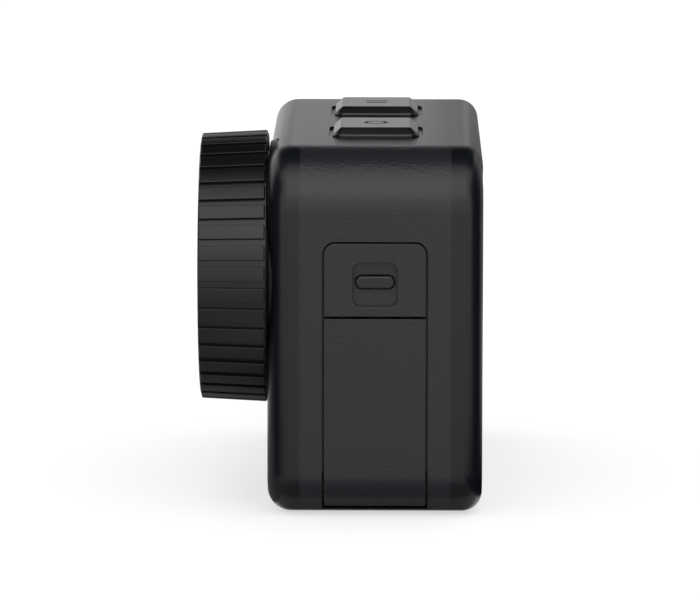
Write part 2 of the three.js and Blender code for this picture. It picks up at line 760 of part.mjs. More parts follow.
function addBatteryDoor() {
  const y0 = midY - doorWidth / 2;
  const y1 = midY + doorWidth / 2;
  const splitHalf = gap / 2;

  // Lower panel with its hinge knuckle
  const band = doorBand(cornerRadius, cornerRadius - doorSkin, doorSplit - splitHalf);
  const knuckle = rodY(knuckleRadius, y0, y1, doorPivotX, doorPivotZ);
  const bore = rodY(pinBore, y0 - overrun, y1 + overrun, doorPivotX, doorPivotZ);
  addPiece('battery_door', cut(join(prismY(band, y0, y1), knuckle), bore), 'texturedPlastic');
  addPiece(
    'door_hinge_pin',
    rodY(pinRadius, midY - pinHalf, midY + pinHalf, doorPivotX, doorPivotZ),
    'steel',
  );

  // Upper panel with a round-bottomed finger dish and the slot for the latch stem
  const skinInnerX = sideX - doorSkin;
  const panel = arched(doorWidth, doorSplit + splitHalf, doorTop, doorCornerRadius, midY);
  const pad = rounded(latchPadSide, latchPadSide, dishRadius, midY, dishHeight);
  const dish = rounded(dishSide, dishSide, dishRadius, midY, dishHeight);
  const sag = dishDepth - dishEdgeDepth;
  const scoopRadius = ((dishSide * dishSide) / 4 + sag * sag) / (2 * sag);
  const scoop = rodY(
    scoopRadius, midY - dishSide, midY + dishSide,
    sideX - dishDepth + scoopRadius, dishHeight, turnSteps,
  );
  const barZ = dishHeight + barRise;
  const slotTop = barZ + barHeight / 2 - stemClear / 2;
  const slotBase = slotTop - stemHeight - latchTravel - 2 * stemClear;
  const slotHalf = stemWidth / 2 + stemClear;
  const latchPanel = cut(
    join(
      prismX(panel, skinInnerX, sideX),
      prismX(pad, skinInnerX - latchPad, skinInnerX + overrun / 2),
    ),
    meet(prismX(dish, skinInnerX, sideX + overrun), scoop),
    block(skinInnerX - overrun, sideX, midY - slotHalf, midY + slotHalf, slotBase, slotTop),
  );
  addPiece('latch_panel', latchPanel, 'texturedPlastic');

  // Latch bar with its stem
  const barInnerX = sideX - dishDepth + barFloorGap;
  const pill = rounded(barLength, barHeight, (barHeight / 2) * fullRoundShare, midY, barZ);
  const padInnerX = skinInnerX - latchPad;
  const stemTop = slotTop - stemClear;
  const stem = block(padInnerX, barInnerX + barThickness / 2,
    midY - stemWidth / 2, midY + stemWidth / 2, stemTop - stemHeight, stemTop);
  addPiece(
    'latch_bar',
    join(prismX(pill, barInnerX, barInnerX + barThickness), stem),
    'satinPlastic',
  );

  // Slide behind the panel: it stands under the frame's springy nose and holds it up
  const slideOuterX = padInnerX - gap;
  const slideInnerX = slideOuterX - slideThickness;
  const slideTop = barZ + barHeight / 2;
  const slideBase = slideTop - slideLength;
  addPiece(
    'latch_slide',
    block(slideInnerX, slideOuterX, midY - slideWidth / 2, midY + slideWidth / 2,
      slideBase, slideTop),
    'steel',
  );

  // Spring below the slide
  const springX = (slideInnerX + slideOuterX) / 2;
  const springTop = slideBase - gap;
  const springBase = springTop - springLength;
  addPiece('latch_spring', rodZ(springRadius, springBase, springTop, springX, midY), 'steel');

  // Frame that joins both panels, with a rim that keeps the seal
  const frameBackX = slideInnerX - gap - doorFrameWeb;
  const frameFrontX = skinInnerX - gap;
  const sealBackX = frameBackX + doorFrameRim + gap;
  const sealSpace = sealWidth + gap;
  const sealOuterWidth = bayInnerWidth - 2 * gap;
  const sealOuterHeight = bayInnerHeight - 2 * gap;
  const core = rounded(sealOuterWidth - 2 * sealSpace, sealOuterHeight - 2 * sealSpace,
    sealRadius - sealWidth, midY, bayMidZ);
  const rim = rounded(sealOuterWidth, sealOuterHeight, sealRadius, midY, bayMidZ);
  const pocketBase = Math.min(slideBase - latchTravel, dishHeight - latchPadSide / 2) - gap;
  const passageTop = bayMidZ + bayInnerHeight / 2;
  const plate = cut(
    join(
      prismX(core, frameBackX, frameFrontX, hiddenArcSteps),
      prismX(rim, frameBackX, frameBackX + doorFrameRim, hiddenArcSteps),
    ),
    block(slideInnerX - gap, sideX, midY - latchPadSide / 2 - gap, midY + latchPadSide / 2 + gap,
      pocketBase, passageTop + overrun),
    block(slideInnerX - gap, sideX, midY - 2 * springRadius, midY + 2 * springRadius,
      springBase - gap, pocketBase + overrun),
  );
  const nose = block(frameBackX + doorFrameRim, slideOuterX, midY - noseWidth / 2,
    midY + noseWidth / 2, slideTop + gap, passageTop - gap);
  addPiece('door_frame', join(plate, nose), 'satinPlastic');

  // Rubber seal round the frame, open at the latch
  const sealOuter = rounded(sealOuterWidth, sealOuterHeight, sealRadius, midY, bayMidZ);
  const sealInner = rounded(sealOuterWidth - 2 * sealWidth, sealOuterHeight - 2 * sealWidth,
    sealRadius - sealWidth + gap, midY, bayMidZ);
  const seal = cut(
    prismX(sealOuter, sealBackX, sealBackX + sealDepth, hiddenArcSteps),
    prismX(sealInner, sealBackX - overrun, sealBackX + sealDepth + overrun, hiddenArcSteps),
    block(sealBackX - overrun, sideX, midY - slideWidth / 2 - gap, midY + slideWidth / 2 + gap,
      bayMidZ, passageTop + overrun),
  );
  addPiece('door_seal', seal, 'rubber');
}

function addBattery() {
  const batteryOuterX = sillInnerX - gap;
  const contactInnerX = bayEndX + bayWall + gap;
  const contactOuterX = contactInnerX + contactDepth;
  const batteryInnerX = contactOuterX + gap;
  const section = rounded(batteryThickness, batteryHeight, batteryRadius, midY, bayMidZ);
  addPiece('battery', prismX(section, batteryInnerX, batteryOuterX, hiddenArcSteps), 'batteryWrap');

  const contactBase = bayFloor + contactLift;
  const contactHalf = batteryThickness / 2 - contactMargin;
  addPiece(
    'battery_contacts',
    block(contactInnerX, contactOuterX, midY - contactHalf, midY + contactHalf,
      contactBase, contactBase + contactHeight),
    'brass',
  );

  const outer = rounded(bayInnerWidth + 2 * bayWall, bayInnerHeight + 2 * bayWall,
    sealRadius + bayWall, midY, bayMidZ);
  const inner = rounded(bayInnerWidth, bayInnerHeight, sealRadius, midY, bayMidZ);
  const bay = cut(
    prismX(outer, bayEndX, batteryOuterX, hiddenArcSteps),
    prismX(inner, bayEndX + bayWall, batteryOuterX + overrun, hiddenArcSteps),
    block(bayEndX - overrun, bayEndX + bayWall + overrun, midY - contactHalf, midY + contactHalf,
      contactBase, contactBase + contactHeight),
  );
  addPiece('battery_bay', bay, 'satinPlastic');
}

function addPortCover() {
  const y0 = midY - coverWidth / 2;
  const y1 = midY + coverWidth / 2;
  const skinInnerX = -sideX + doorSkin;
  const panel = arched(coverWidth, coverHinge, coverTop, doorCornerRadius, midY);
  const cover = cut(
    join(
      prismX(panel, -sideX, skinInnerX),
      rodY(knuckleRadius, y0, y1, coverPivotX, coverHinge),
    ),
    rodY(pinBore, y0 - overrun, y1 + overrun, coverPivotX, coverHinge),
    rodY(nickRadius, midY - nickLength / 2, midY + nickLength / 2, -sideX, coverTop),
  );
  addPiece('port_cover', cover, 'texturedPlastic');
  addPiece(
    'port_cover_pin',
    rodY(pinRadius, midY - coverPinHalf, midY + coverPinHalf, coverPivotX, coverHinge),
    'steel',
  );

  const plug = rounded(plugWidth, plugHeight, plugRadius, midY, plugHeightAbove);
  const plugInnerX = skinInnerX + gap + plugThickness;
  addPiece('port_cover_plug', prismX(plug, skinInnerX + gap, plugInnerX, hiddenArcSteps), 'rubber');

  // Socket under the small board and card cage above it
  const socketX = plugInnerX + gap;
  const socketTop = portBoardHeight - gap;
  const socketMidZ = socketTop - socketHeight / 2;
  const boreHeight = socketHeight - 2 * socketWall;
  const socketRadius = (socketHeight / 2) * fullRoundShare;
  const boreRadius = (boreHeight / 2) * fullRoundShare;
  const socketOuter = rounded(socketWidth, socketHeight, socketRadius, midY, socketMidZ);
  const socketBore = rounded(
    socketWidth - 2 * socketWall, boreHeight, boreRadius, midY, socketMidZ,
  );
  const socketEnd = socketX + socketLength;
  const socket = join(
    cut(
      prismX(socketOuter, socketX, socketEnd),
      prismX(socketBore, socketX - overrun, socketEnd - overrun),
    ),
    block(socketX + overrun, socketEnd - overrun / 2, midY - tongueWidth / 2,
      midY + tongueWidth / 2, socketMidZ - tongueThickness / 2, socketMidZ + tongueThickness / 2),
  );
  addPiece('charging_socket', socket, 'steel');

  const boardHalf = cardWidth / 2 + cageWall + 2 * gap;
  addPiece(
    'port_board',
    block(portBoardX, portBoardEndX, midY - boardHalf, midY + boardHalf,
      portBoardHeight, portBoardHeight + boardThickness),
    'circuitBoard',
  );

  const cageBase = portBoardHeight + boardThickness + gap;
  const cageHalf = cardWidth / 2 + gap + cageWall;
  const cageTop = cageBase + cardThickness + 2 * gap + 2 * cageWall;
  const cage = cut(
    block(portBoardX, portBoardX + cardLength, midY - cageHalf, midY + cageHalf, cageBase, cageTop),
    block(portBoardX - overrun, portBoardX + cardLength - cageWall, midY - cageHalf + cageWall,
      midY + cageHalf - cageWall, cageBase + cageWall, cageTop - cageWall),
  );
  addPiece('card_cage', cage, 'steel');
  const cardBase = cageBase + cageWall + gap;
  addPiece(
    'memory_card',
    block(socketX, portBoardX + cardLength - cageWall - gap,
      midY - cardWidth / 2, midY + cardWidth / 2, cardBase, cardBase + cardThickness),
    'chipBlack',
  );
}

function addButtons() {
  const names = ['shutter', 'mode'];
  buttonPlaces.forEach((x, i) => {
    const cap = rounded(
      buttonLength - 2 * buttonChamfer, buttonWidth - 2 * buttonChamfer,
      buttonRadius - buttonChamfer / 2, x, midY,
    );
    const chamfer = {
      bevelEnabled: true,
      bevelThickness: buttonRise,
      bevelSize: buttonChamfer,
      bevelSegments: 1,
    };
    const crown = extruded(cap, topZ - flangeBottomZ, arcSteps, chamfer);
    crown.translate(0, 0, flangeBottomZ);
    const stock = rounded(buttonLength, buttonWidth, buttonRadius, x, midY);
    const flange = rounded(
      buttonLength + 2 * flangeMargin, buttonWidth + 2 * flangeMargin,
      buttonRadius + flangeMargin, x, midY,
    );
    const button = join(
      meet(toSolid(crown), prismZ(stock, flangeBottomZ, topZ + buttonRise + overrun)),
      prismZ(flange, flangeBottomZ, flangeTopZ),
    );
    addPiece(`${names[i]}_button`, button, 'satinPlastic');
    addPiece(
      `${names[i]}_switch`,
      rodZ(switchRadius, switchTopZ - switchHeight, switchTopZ, x, midY),
      'steel',
    );
  });
  const halfX = buttonOffset + buttonLength / 2 + membraneMargin;
  const membrane = rounded(
    2 * halfX, buttonWidth + 2 * membraneMargin, buttonRadius, 0, midY,
  );
  addPiece(
    'button_membrane',
    prismZ(membrane, membraneTopZ - membraneThickness, membraneTopZ, hiddenArcSteps),
    'rubber',
  );
  addPiece(
    'button_board',
    block(-boardHalfX, boardHalfX, midY - buttonWidth / 2, midY + buttonWidth / 2,
      buttonBoardTopZ - boardThickness, buttonBoardTopZ),
    'circuitBoard',
  );
}

function addFrontScreen() {
  const glass = rounded(
    frontGlassWidth, frontGlassHeight, frontGlassRadius, frontGlassX, frontGlassZ,
  );
  addPiece('front_glass', prismY(glass, frontGlassY, frontGlassY + frontGlassThickness), 'screenGlass');
  addPiece(
    'front_screen',
    block(frontGlassX - frontGlassWidth / 2 + frontPanelBorder,
      frontGlassX + frontGlassWidth / 2 - frontPanelBorder,
      frontPanelY, frontPanelY + frontPanelThickness,
      frontGlassZ - frontGlassHeight / 2 + frontPanelBorder,
      frontGlassZ + frontGlassHeight / 2 - frontPanelBorder),
    'chipBlack',
  );
  addPiece(
    'front_microphone',
    block(frontGlassX - micSide / 2, frontGlassX + micSide / 2,
      cavityFrontY + gap, cavityFrontY + gap + micDepth,
      micHeight - micSide / 2, micHeight + micSide / 2),
    'steel',
  );
  addPiece(
    'status_light',
    rodY(lightRadius, frontY + frontGlassRecess, cavityFrontY + gap,
      frontGlassX + lightOffset, micHeight),
    'lightLens',
  );
}

function addRearScreen() {
  const rearWidth = bodyWidth - 2 * rearRim - 2 * gap;
  const rearHeight = bodyHeight - 2 * rearRim - 2 * gap;
  const radius = cornerRadius - rearRim - gap;
  const outline = rounded(rearWidth, rearHeight, radius, 0, bodyHeight / 2);
  const frameWidth = 2 * (sillInnerX - gap);
  const frameOutline = rounded(frameWidth, rearHeight, radius, 0, bodyHeight / 2);
  const glassRearY = rearY - rearGlassRecess;
  const glassFrontY = glassRearY - rearGlassThickness;
  addPiece('rear_glass', prismY(outline, glassFrontY, glassRearY), 'screenGlass');

  const rearPanelWidth = rearWidth - 2 * rearPanelSideBorder;
  const rearPanelHeight = rearHeight - 2 * rearPanelEndBorder;
  const frameRearY = glassFrontY - gap;
  const frameFrontY = frameRearY - rearFrameThickness;
  const panelFrontY = frameRearY - rearPanelThickness;
  const panelX = rearPanelWidth / 2 + gap;
  const panelZ = rearPanelHeight / 2 + gap;
  const windowX = (rearPanelWidth / 2) * rearWindowShare;
  const windowZ = (rearPanelHeight / 2) * rearWindowShare;
  const middleZ = bodyHeight / 2;
  const frame = cut(
    prismY(frameOutline, frameFrontY, frameRearY, hiddenArcSteps),
    block(-panelX, panelX, panelFrontY - gap, frameRearY + overrun, middleZ - panelZ,
      middleZ + panelZ),
    block(-windowX, windowX, frameFrontY - overrun, frameRearY, middleZ - windowZ,
      middleZ + windowZ),
  );
  addPiece('rear_frame', frame, 'satinPlastic');
  addPiece(
    'rear_screen',
    block(-rearPanelWidth / 2, rearPanelWidth / 2, panelFrontY, frameRearY,
      middleZ - rearPanelHeight / 2, middleZ + rearPanelHeight / 2),
    'chipBlack',
  );

  // Main board between the bay and the rear frame, with chips above the bay
  const boardRearY = mainBoardFrontY + mainBoardThickness;
  const boardX0 = portBoardEndX + gap;
  const boardX1 = sillInnerX - mainBoardEndGap;
  const boardTop = bodyHeight - mainBoardTopDrop;
  let board = block(boardX0, boardX1, mainBoardFrontY, boardRearY, mainBoardBase, boardTop);
  const chipBase = bayTop + gap;
  const chipSide = boardTop - gap - chipBase;
  for (let i = 0; i < chipCount; i += 1) {
    const left = boardX0 + spreaderInset + i * chipPitch;
    board = join(
      board,
      block(left, left + chipSide, mainBoardFrontY - chipThickness, mainBoardFrontY + gap,
        chipBase, chipBase + chipSide),
    );
  }
  addPiece('main_board', board, 'circuitBoard');
  addPiece(
    'heat_spreader',
    block(boardX0 + spreaderInset, boardX1 - spreaderInset, boardRearY + gap, frameFrontY - gap,
      mainBoardBase + spreaderInset, boardTop - spreaderInset),
    'aluminium',
  );
}

function addSpeaker() {
  const speakerX = -sideX + wall + gap;
  addPiece(
    'speaker',
    block(speakerX, speakerX + speakerDepth, midY - speakerWidth / 2, midY + speakerWidth / 2,
      speakerMidZ - speakerHeight / 2, speakerMidZ + speakerHeight / 2),
    'chipBlack',
  );
}

function addTripodInsert() {
  const top = insertRecess + insertHeight;
  const insert = cut(
    rodZ(insertRadius, insertRecess, top, 0, midY, baseTurnSteps),
    rodZ(insertBore, -overrun, top - insertFloor, 0, midY, baseTurnSteps),
  );
  addPiece('tripod_insert', insert, 'steel');
}

function addLensMount() {
  const webFrontY = mountRearY - mountWebThickness;
  let mount = turnedLens([
    [mountWebBore, webFrontY],
    [mountTubeBore, webFrontY],
    [mountTubeBore, mountTubeY],
    [mountTubeRadius, mountTubeY],
    [mountTubeRadius, mountFlangeY],
    [mountRadius, mountFlangeY],
    [mountRadius, mountRearY],
    [mountWebBore, mountRearY],
  ], turnSteps);
  for (let i = 0; i < lugCount; i += 1) {
    const angle = (i * 360) / lugCount;
    const lug = ringSector(mountTubeBore + gap, mountLugRadius, angle, lugAngle,
      mountLugRearY - lugThickness, mountLugRearY);
    mount = join(mount, lug);
  }
  for (let i = 0; i < screwCount; i += 1) {
    const angle = screwStart + (i * 2 * Math.PI) / screwCount;
    const x = lensX + screwCircle * Math.cos(angle);
    const z = lensHeight + screwCircle * Math.sin(angle);
    const hole = rodY(screwHoleRadius, webFrontY - overrun, mountRearY + overrun, x, z,
      tinyTurnSteps);
    mount = cut(mount, hole);
    const headRearY = webFrontY - screwSeatGap;
    const screw = join(
      rodY(screwHeadRadius, headRearY - screwHeadHeight, headRearY, x, z),
      rodY(screwRadius, headRearY - screwHeadHeight / 2, screwRearY, x, z, tinyTurnSteps),
    );
    addPiece(`mount_screw_${i + 1}`, screw, 'steel');
  }
  addPiece('lens_mount', mount, 'blackAluminium');

  // Rubber ring that takes up the play between the mount and the lens ring
  const sealInner = mountTubeRadius + gap;
  const sealOuter = ringBore - gap;
  const sealMid = (sealInner + sealOuter) / 2;
  const sealHalf = (mountTubeLength * mountSealShare) / 2;
  const sealY = mountLugRearY - lugThickness - gap - sealHalf;
  addPiece(
    'mount_seal',
    turnedLens([
      [sealInner, sealY],
      [sealMid, sealY - sealHalf],
      [sealOuter, sealY],
      [sealMid, sealY + sealHalf],
    ]),
    'rubber',
  );
}

function addLensRing() {
  const taper = ringTaper / ringLength;
  const radiusAt = (y) => ringFrontRadius + taper * (y - ringFrontY);
  const padFrontY = ringFrontY + padFrontInset;
  const padRearY = ringRearY - padRearInset;
  const pitch = (2 * Math.PI) / padCount;
  const ringSteps = 2 * padCount;

  // Raised pads: a cone with a straight groove cut between each pair
  let pads = turnedLens([
    [0, padFrontY],
    [radiusAt(padFrontY) - ringChamfer, padFrontY],
    [radiusAt(padFrontY + ringChamfer), padFrontY + ringChamfer],
    [radiusAt(padRearY), padRearY],
    [0, padRearY],
  ], ringSteps);
  const grooveWidth = ringFrontRadius * pitch * (1 - padShare);
  for (let i = 0; i < padCount; i += 1) {
    const groove = new THREE.BoxGeometry(2 * padHeight + overrun, ringLength + overrun, grooveWidth);
    groove.translate(ringRearRadius - padHeight / 2, 0, 0).rotateY(-i * pitch);
    groove.translate(lensX, (ringFrontY + ringRearY) / 2, lensHeight);
    pads = cut(pads, toSolid(groove));
  }

  const core = turnedLens([
    [0, ringFrontY],
    [radiusAt(ringFrontY) - padHeight - ringChamfer, ringFrontY],
    [radiusAt(ringFrontY) - padHeight, ringFrontY + ringChamfer],
    [radiusAt(ringRearY) - padHeight, ringRearY],
    [0, ringRearY],
  ], ringSteps);

  // Stepped bore: front lip, glass pocket and the wide bore over the mount
  const bore = turnedLens([
    [0, ringFrontY - overrun],
    [ringLipRadius + ringLip + overrun, ringFrontY - overrun],
    [ringLipRadius, lipRearY],
    [glassPocketRadius, lipRearY],
    [glassPocketRadius, retainerRearY],
    [ringBore, retainerRearY],
    [ringBore, ringRearY + overrun],
    [0, ringRearY + overrun],
  ], turnSteps);
  let ring = cut(join(core, pads), bore);

  // Bayonet lugs that sit behind the lugs of the mount
  for (let i = 0; i < lugCount; i += 1) {
    const lug = ringSector(ringLugRadius, ringBore + gap, (i * 360) / lugCount, lugAngle,
      ringLugRearY - lugThickness, ringLugRearY);
    ring = join(ring, lug);
  }
  addPiece('lens_ring', ring, 'ringPlastic');

  const glassRadius = glassPocketRadius - gap;
  const tube = (outer, width, y0, y1) => turnedLens([
    [outer - width, y0],
    [outer, y0],
    [outer, y1],
    [outer - width, y1],
  ]);
  addPiece(
    'glass_seal',
    tube(glassRadius, glassSealWidth, glassSealY, glassSealY + glassSealThickness),
    'rubber',
  );
  addPiece(
    'cover_glass',
    rodY(glassRadius, coverGlassY, coverGlassRearY, lensX, lensHeight, innerTurnSteps),
    'clearGlass',
  );
  addPiece(
    'glass_retainer',
    tube(glassRadius, retainerWidth, retainerY, retainerRearY),
    'blackAluminium',
  );
}

function addLensBarrel() {
  const shoulderY = mountFloorY - gap;
  const barrelFrontY = shoulderY - barrelFrontLength;

  // Front element: a meniscus with its dome towards the glass
  const dome = lensFace(barrelFrontY - domeRise, elementSag, elementRadius, domeSteps);
  const elementRearY = barrelFrontY - domeRise + elementSag + elementEdge;
  const hollow = lensFace(
    elementRearY - elementHollowDepth, elementHollowDepth, elementHollowRadius,
  );
  addPiece(
    'front_element',
    turnedLens([...dome, [elementRadius, elementRearY], ...hollow.reverse()]),
    'coatedGlass',
  );
  const seatY = elementRearY + gap;

  // Ring that keeps the front element in the barrel
  const keeperBore = elementRadius * (1 - keeperShare);
  addPiece(
    'element_keeper',
    turnedLens([
      [keeperBore, barrelFrontY],
      [elementRadius, barrelFrontY],
      [elementRadius, barrelFrontY + keeperLength],
      [keeperBore, barrelFrontY + keeperLength],
    ]),
    'blackAluminium',
  );

  // Inner elements: two biconvex and one rear element
  const stackY = seatY + gap;
  const thickness = 2 * innerElementSag + innerElementEdge;
  const names = ['second_element', 'third_element'];
  names.forEach((name, i) => {
    const y = stackY + i * (thickness + gap);
    const front = lensFace(y, innerElementSag, innerElementRadius);
    const rear = lensFace(y + thickness, -innerElementSag, innerElementRadius);
    addPiece(name, turnedLens([...front, ...rear.reverse()]), 'clearGlass');
  });

  const barrel = turnedLens([
    [innerBore, seatY],
    [elementPocketRadius, seatY],
    [elementPocketRadius, barrelFrontY],
    [barrelRadius, barrelFrontY],
    [barrelRadius, shoulderY],
    [barrelNeckRadius, shoulderY],
    [barrelNeckRadius, barrelRearY],
    [rearBore, barrelRearY],
    [rearBore, barrelRearY - rearBoreLength],
    [innerBore, barrelRearY - rearBoreLength],
  ]);
  addPiece('lens_barrel', barrel, 'blackAluminium');

  // Rear element in the narrow rear bore
  const rearRadius = rearBore - gap;
  addPiece(
    'rear_element',
    rodY(rearRadius, barrelRearY - rearBoreLength, barrelRearY - gap, lensX, lensHeight, innerTurnSteps),
    'clearGlass',
  );

  // Stepped hood from the cover glass down to the barrel
  const hoodOuterRadius = mountTubeBore - gap;
  const hoodMouthRadius = hoodOuterRadius - hoodRim;
  const hoodRearRadius = barrelRadius + gap;
  const hoodFrontY = coverGlassRearY + gap;
  const hoodRearY = barrelFrontY + hoodThickness + gap;
  const stepRadius = (hoodMouthRadius - hoodRearRadius) / hoodSteps;
  const stepDepth = (hoodRearY - hoodThickness - hoodFrontY) / hoodSteps;
  const inner = [[hoodMouthRadius, hoodFrontY]];
  for (let i = 0; i < hoodSteps; i += 1) {
    const y = hoodFrontY + (i + 1) * stepDepth;
    inner.push([hoodMouthRadius - i * stepRadius, y]);
    inner.push([hoodMouthRadius - (i + 1) * stepRadius, y]);
  }
  const outer = [
    [hoodRearRadius, hoodRearY],
    [hoodRearRadius + hoodThickness, hoodRearY],
    [hoodOuterRadius, hoodFrontY + hoodThickness],
    [hoodOuterRadius, hoodFrontY],
  ];
  addPiece('lens_hood', turnedLens([...inner, ...outer]), 'satinPlastic');

  // Image sensor and its board behind the barrel
  addPiece(
    'image_sensor',
    block(lensX - sensorWidth / 2, lensX + sensorWidth / 2, sensorY, sensorY + sensorThickness,
      lensHeight - sensorHeight / 2, lensHeight + sensorHeight / 2),
    'chipBlack',
  );
  addPiece(
    'sensor_board',
    block(lensX - sensorBoardSide / 2, lensX + sensorBoardSide / 2, sensorBoardY,
      sensorBoardY + boardThickness,
      lensHeight - sensorBoardSide / 2, lensHeight + sensorBoardSide / 2),
    'circuitBoard',
  );
}

addHousing();
addBatteryDoor();
addBattery();
addPortCover();
addButtons();
addFrontScreen();
addRearScreen();
addSpeaker();
addTripodInsert();
addLensMount();
addLensRing();
addLensBarrel();

export default camera;
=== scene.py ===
"""Looks of the action camera: moulded shell, ribbed lens ring, latched battery door and port flap.

Sizes in this file are millimetres until a shape is placed, and metres in Blender.
X runs from the port side to the battery side, Y from the lens to the rear, and Z upwards.
"""

import math

import bmesh
import bpy
from mathutils import Matrix, Vector


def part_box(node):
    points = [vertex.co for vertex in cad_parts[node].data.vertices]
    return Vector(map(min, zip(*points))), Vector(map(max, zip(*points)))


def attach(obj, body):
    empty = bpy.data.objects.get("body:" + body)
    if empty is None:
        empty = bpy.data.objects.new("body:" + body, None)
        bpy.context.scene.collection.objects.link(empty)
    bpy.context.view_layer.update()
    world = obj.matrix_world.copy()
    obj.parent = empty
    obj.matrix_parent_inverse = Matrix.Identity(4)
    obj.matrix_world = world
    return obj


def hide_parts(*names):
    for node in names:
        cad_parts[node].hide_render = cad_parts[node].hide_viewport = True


MM = 0.001
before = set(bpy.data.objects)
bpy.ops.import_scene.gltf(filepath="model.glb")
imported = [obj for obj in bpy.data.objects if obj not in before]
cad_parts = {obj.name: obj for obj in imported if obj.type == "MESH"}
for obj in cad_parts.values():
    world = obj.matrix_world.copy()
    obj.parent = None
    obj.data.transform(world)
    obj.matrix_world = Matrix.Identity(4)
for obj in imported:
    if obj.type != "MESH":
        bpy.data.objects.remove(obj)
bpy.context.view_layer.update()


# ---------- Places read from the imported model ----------


def node_box(name):
    """Lowest and highest corner of a CAD node, in millimetres."""
    low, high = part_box(name)
    return Vector(low) / MM, Vector(high) / MM


BODY_LOW, BODY_HIGH = node_box("housing")
RING_LOW, RING_HIGH = node_box("lens_ring")
DOOR_LOW, DOOR_HIGH = node_box("battery_door")
PANEL_LOW, PANEL_HIGH = node_box("latch_panel")
FLAP_LOW, FLAP_HIGH = node_box("port_cover")
MID_Y = (BODY_LOW.y + BODY_HIGH.y) / 2
MID_Z = (BODY_LOW.z + BODY_HIGH.z) / 2

# Rounding of the housing: its corners seen from the lens, then its front and rear edges
CORNER = 6.0
TOP_CORNER = 8.5
FRONT_FILLET = 3.3
REAR_FILLET = 2.8

# Clearances, then the thickness of door and flap
GAP = 0.3
DOOR_GAP = 0.27
SKIN = 1.3

# Knuckles of door and flap, the hollow round them, and the bore for their pins
KNUCKLE = 0.9
SEAT = 1.35
PIN = 0.5
PIN_HALF = 9.7
HINGE_ANGLE = math.radians(52)
HINGE_NORMAL = (math.sin(HINGE_ANGLE), 0, math.cos(HINGE_ANGLE))
DOOR_HINGE = (
    BODY_HIGH.x - CORNER + (CORNER - KNUCKLE) * math.cos(HINGE_ANGLE),
    CORNER - (CORNER - KNUCKLE) * math.sin(HINGE_ANGLE),
)
FLAP_HINGE = (FLAP_LOW.x + KNUCKLE, FLAP_LOW.z + KNUCKLE)
FLAP_CORNER = 1.5
RECESS_CORNER = 1.85

LENS_X = BODY_HIGH.x - 19.15
LENS_Z = 32.45
LENS = (LENS_X, LENS_Z)


def about(centre, half):
    """Both ends of a span about its centre."""
    return centre - half, centre + half


def limits(low, high):
    """Both ends of a box along X, Y and Z, in the order that block takes."""
    return low.x, high.x, low.y, high.y, low.z, high.z


def on_circle(radius, degrees):
    """A place at a distance from the lens axis."""
    angle = math.radians(degrees)
    return LENS_X + radius * math.cos(angle), LENS_Z + radius * math.sin(angle)


# ---------- Modelling steps ----------


def deselect():
    if bpy.context.object and bpy.context.object.mode != "OBJECT":
        bpy.ops.object.mode_set(mode="OBJECT")
    bpy.ops.object.select_all(action="DESELECT")


def choose(*objects):
    deselect()
    for piece in objects:
        piece.select_set(True)
    bpy.context.view_layer.objects.active = objects[0]


def settle(name):
    """Names the new primitive and puts its place into its mesh."""
    piece = bpy.context.object
    piece.name = name
    piece.data.name = name
    bpy.ops.object.transform_apply(location=True, rotation=True, scale=True)
    return piece


def block(name, x0, x1, y0, y1, z0, z1):
    deselect()
    centre = Vector((x0 + x1, y0 + y1, z0 + z1)) * MM / 2
    size = Vector((x1 - x0, y1 - y0, z1 - z0)) * MM
    bpy.ops.mesh.primitive_cube_add(size=1, location=centre, scale=size)
    return settle(name)


TURNS = {
    "X": (0, math.pi / 2, 0),
    "Y": (-math.pi / 2, 0, 0),
    "Z": (0, 0, 0),
}


def rod(name, axis, radius, start, end, place, sides=64, end_radius=None):
    """A round bar along an axis from start to end; place is its centre on the other two axes."""
    deselect()
    middle = (start + end) / 2
    centre = list(place)
    centre.insert("XYZ".index(axis), middle)
    bpy.ops.mesh.primitive_cone_add(
        vertices=sides,
        radius1=radius * MM,
        radius2=(radius if end_radius is None else end_radius) * MM,
        depth=(end - start) * MM,
        location=Vector(centre) * MM,
        rotation=TURNS[axis],
    )
    return settle(name)


def lens_rod(name, radius, start, end, sides, end_radius=None):
    """A round bar on the lens axis."""
    return rod(name, "Y", radius, start, end, LENS, sides, end_radius)


def pick_edges(piece, test):
    """Opens edit mode with the edges selected that pass a test on their ends in millimetres."""
    choose(piece)
    bpy.ops.object.mode_set(mode="EDIT")
    bpy.ops.mesh.select_mode(type="EDGE")
    bpy.ops.mesh.select_all(action="DESELECT")
    mesh = bmesh.from_edit_mesh(piece.data)
    found = 0
    for edge in mesh.edges:
        if test(edge, edge.verts[0].co / MM, edge.verts[1].co / MM):
            edge.select_set(True)
            found += 1
    bmesh.update_edit_mesh(piece.data)
    return found


def round_edges(piece, test, width, steps, clamp=False):
    if pick_edges(piece, test):
        bpy.ops.mesh.bevel(
            offset=width * MM,
            offset_type="OFFSET",
            segments=steps,
            profile=0.5,
            affect="EDGES",
            clamp_overlap=clamp,
        )
    bpy.ops.object.mode_set(mode="OBJECT")


def slice_off(piece, point, normal):
    """Cuts along a plane and keeps the side that the normal points to."""
    choose(piece)
    bpy.ops.object.mode_set(mode="EDIT")
    bpy.ops.mesh.select_all(action="SELECT")
    bpy.ops.mesh.bisect(
        plane_co=Vector(point) * MM, plane_no=normal, use_fill=True, clear_inner=True
    )
    bpy.ops.object.mode_set(mode="OBJECT")


def combine(piece, tool, how):
    choose(piece)
    step = piece.modifiers.new("step", "BOOLEAN")
    step.operation = how
    step.solver = "EXACT"
    step.object = tool
    bpy.ops.object.modifier_apply(modifier=step.name)
    bpy.data.objects.remove(tool)


def cut(piece, *tools):
    for tool in tools:
        combine(piece, tool, "DIFFERENCE")


def add(piece, *tools):
    for tool in tools:
        combine(piece, tool, "UNION")


def near(a, b, slack=0.02):
    return abs(a - b) < slack


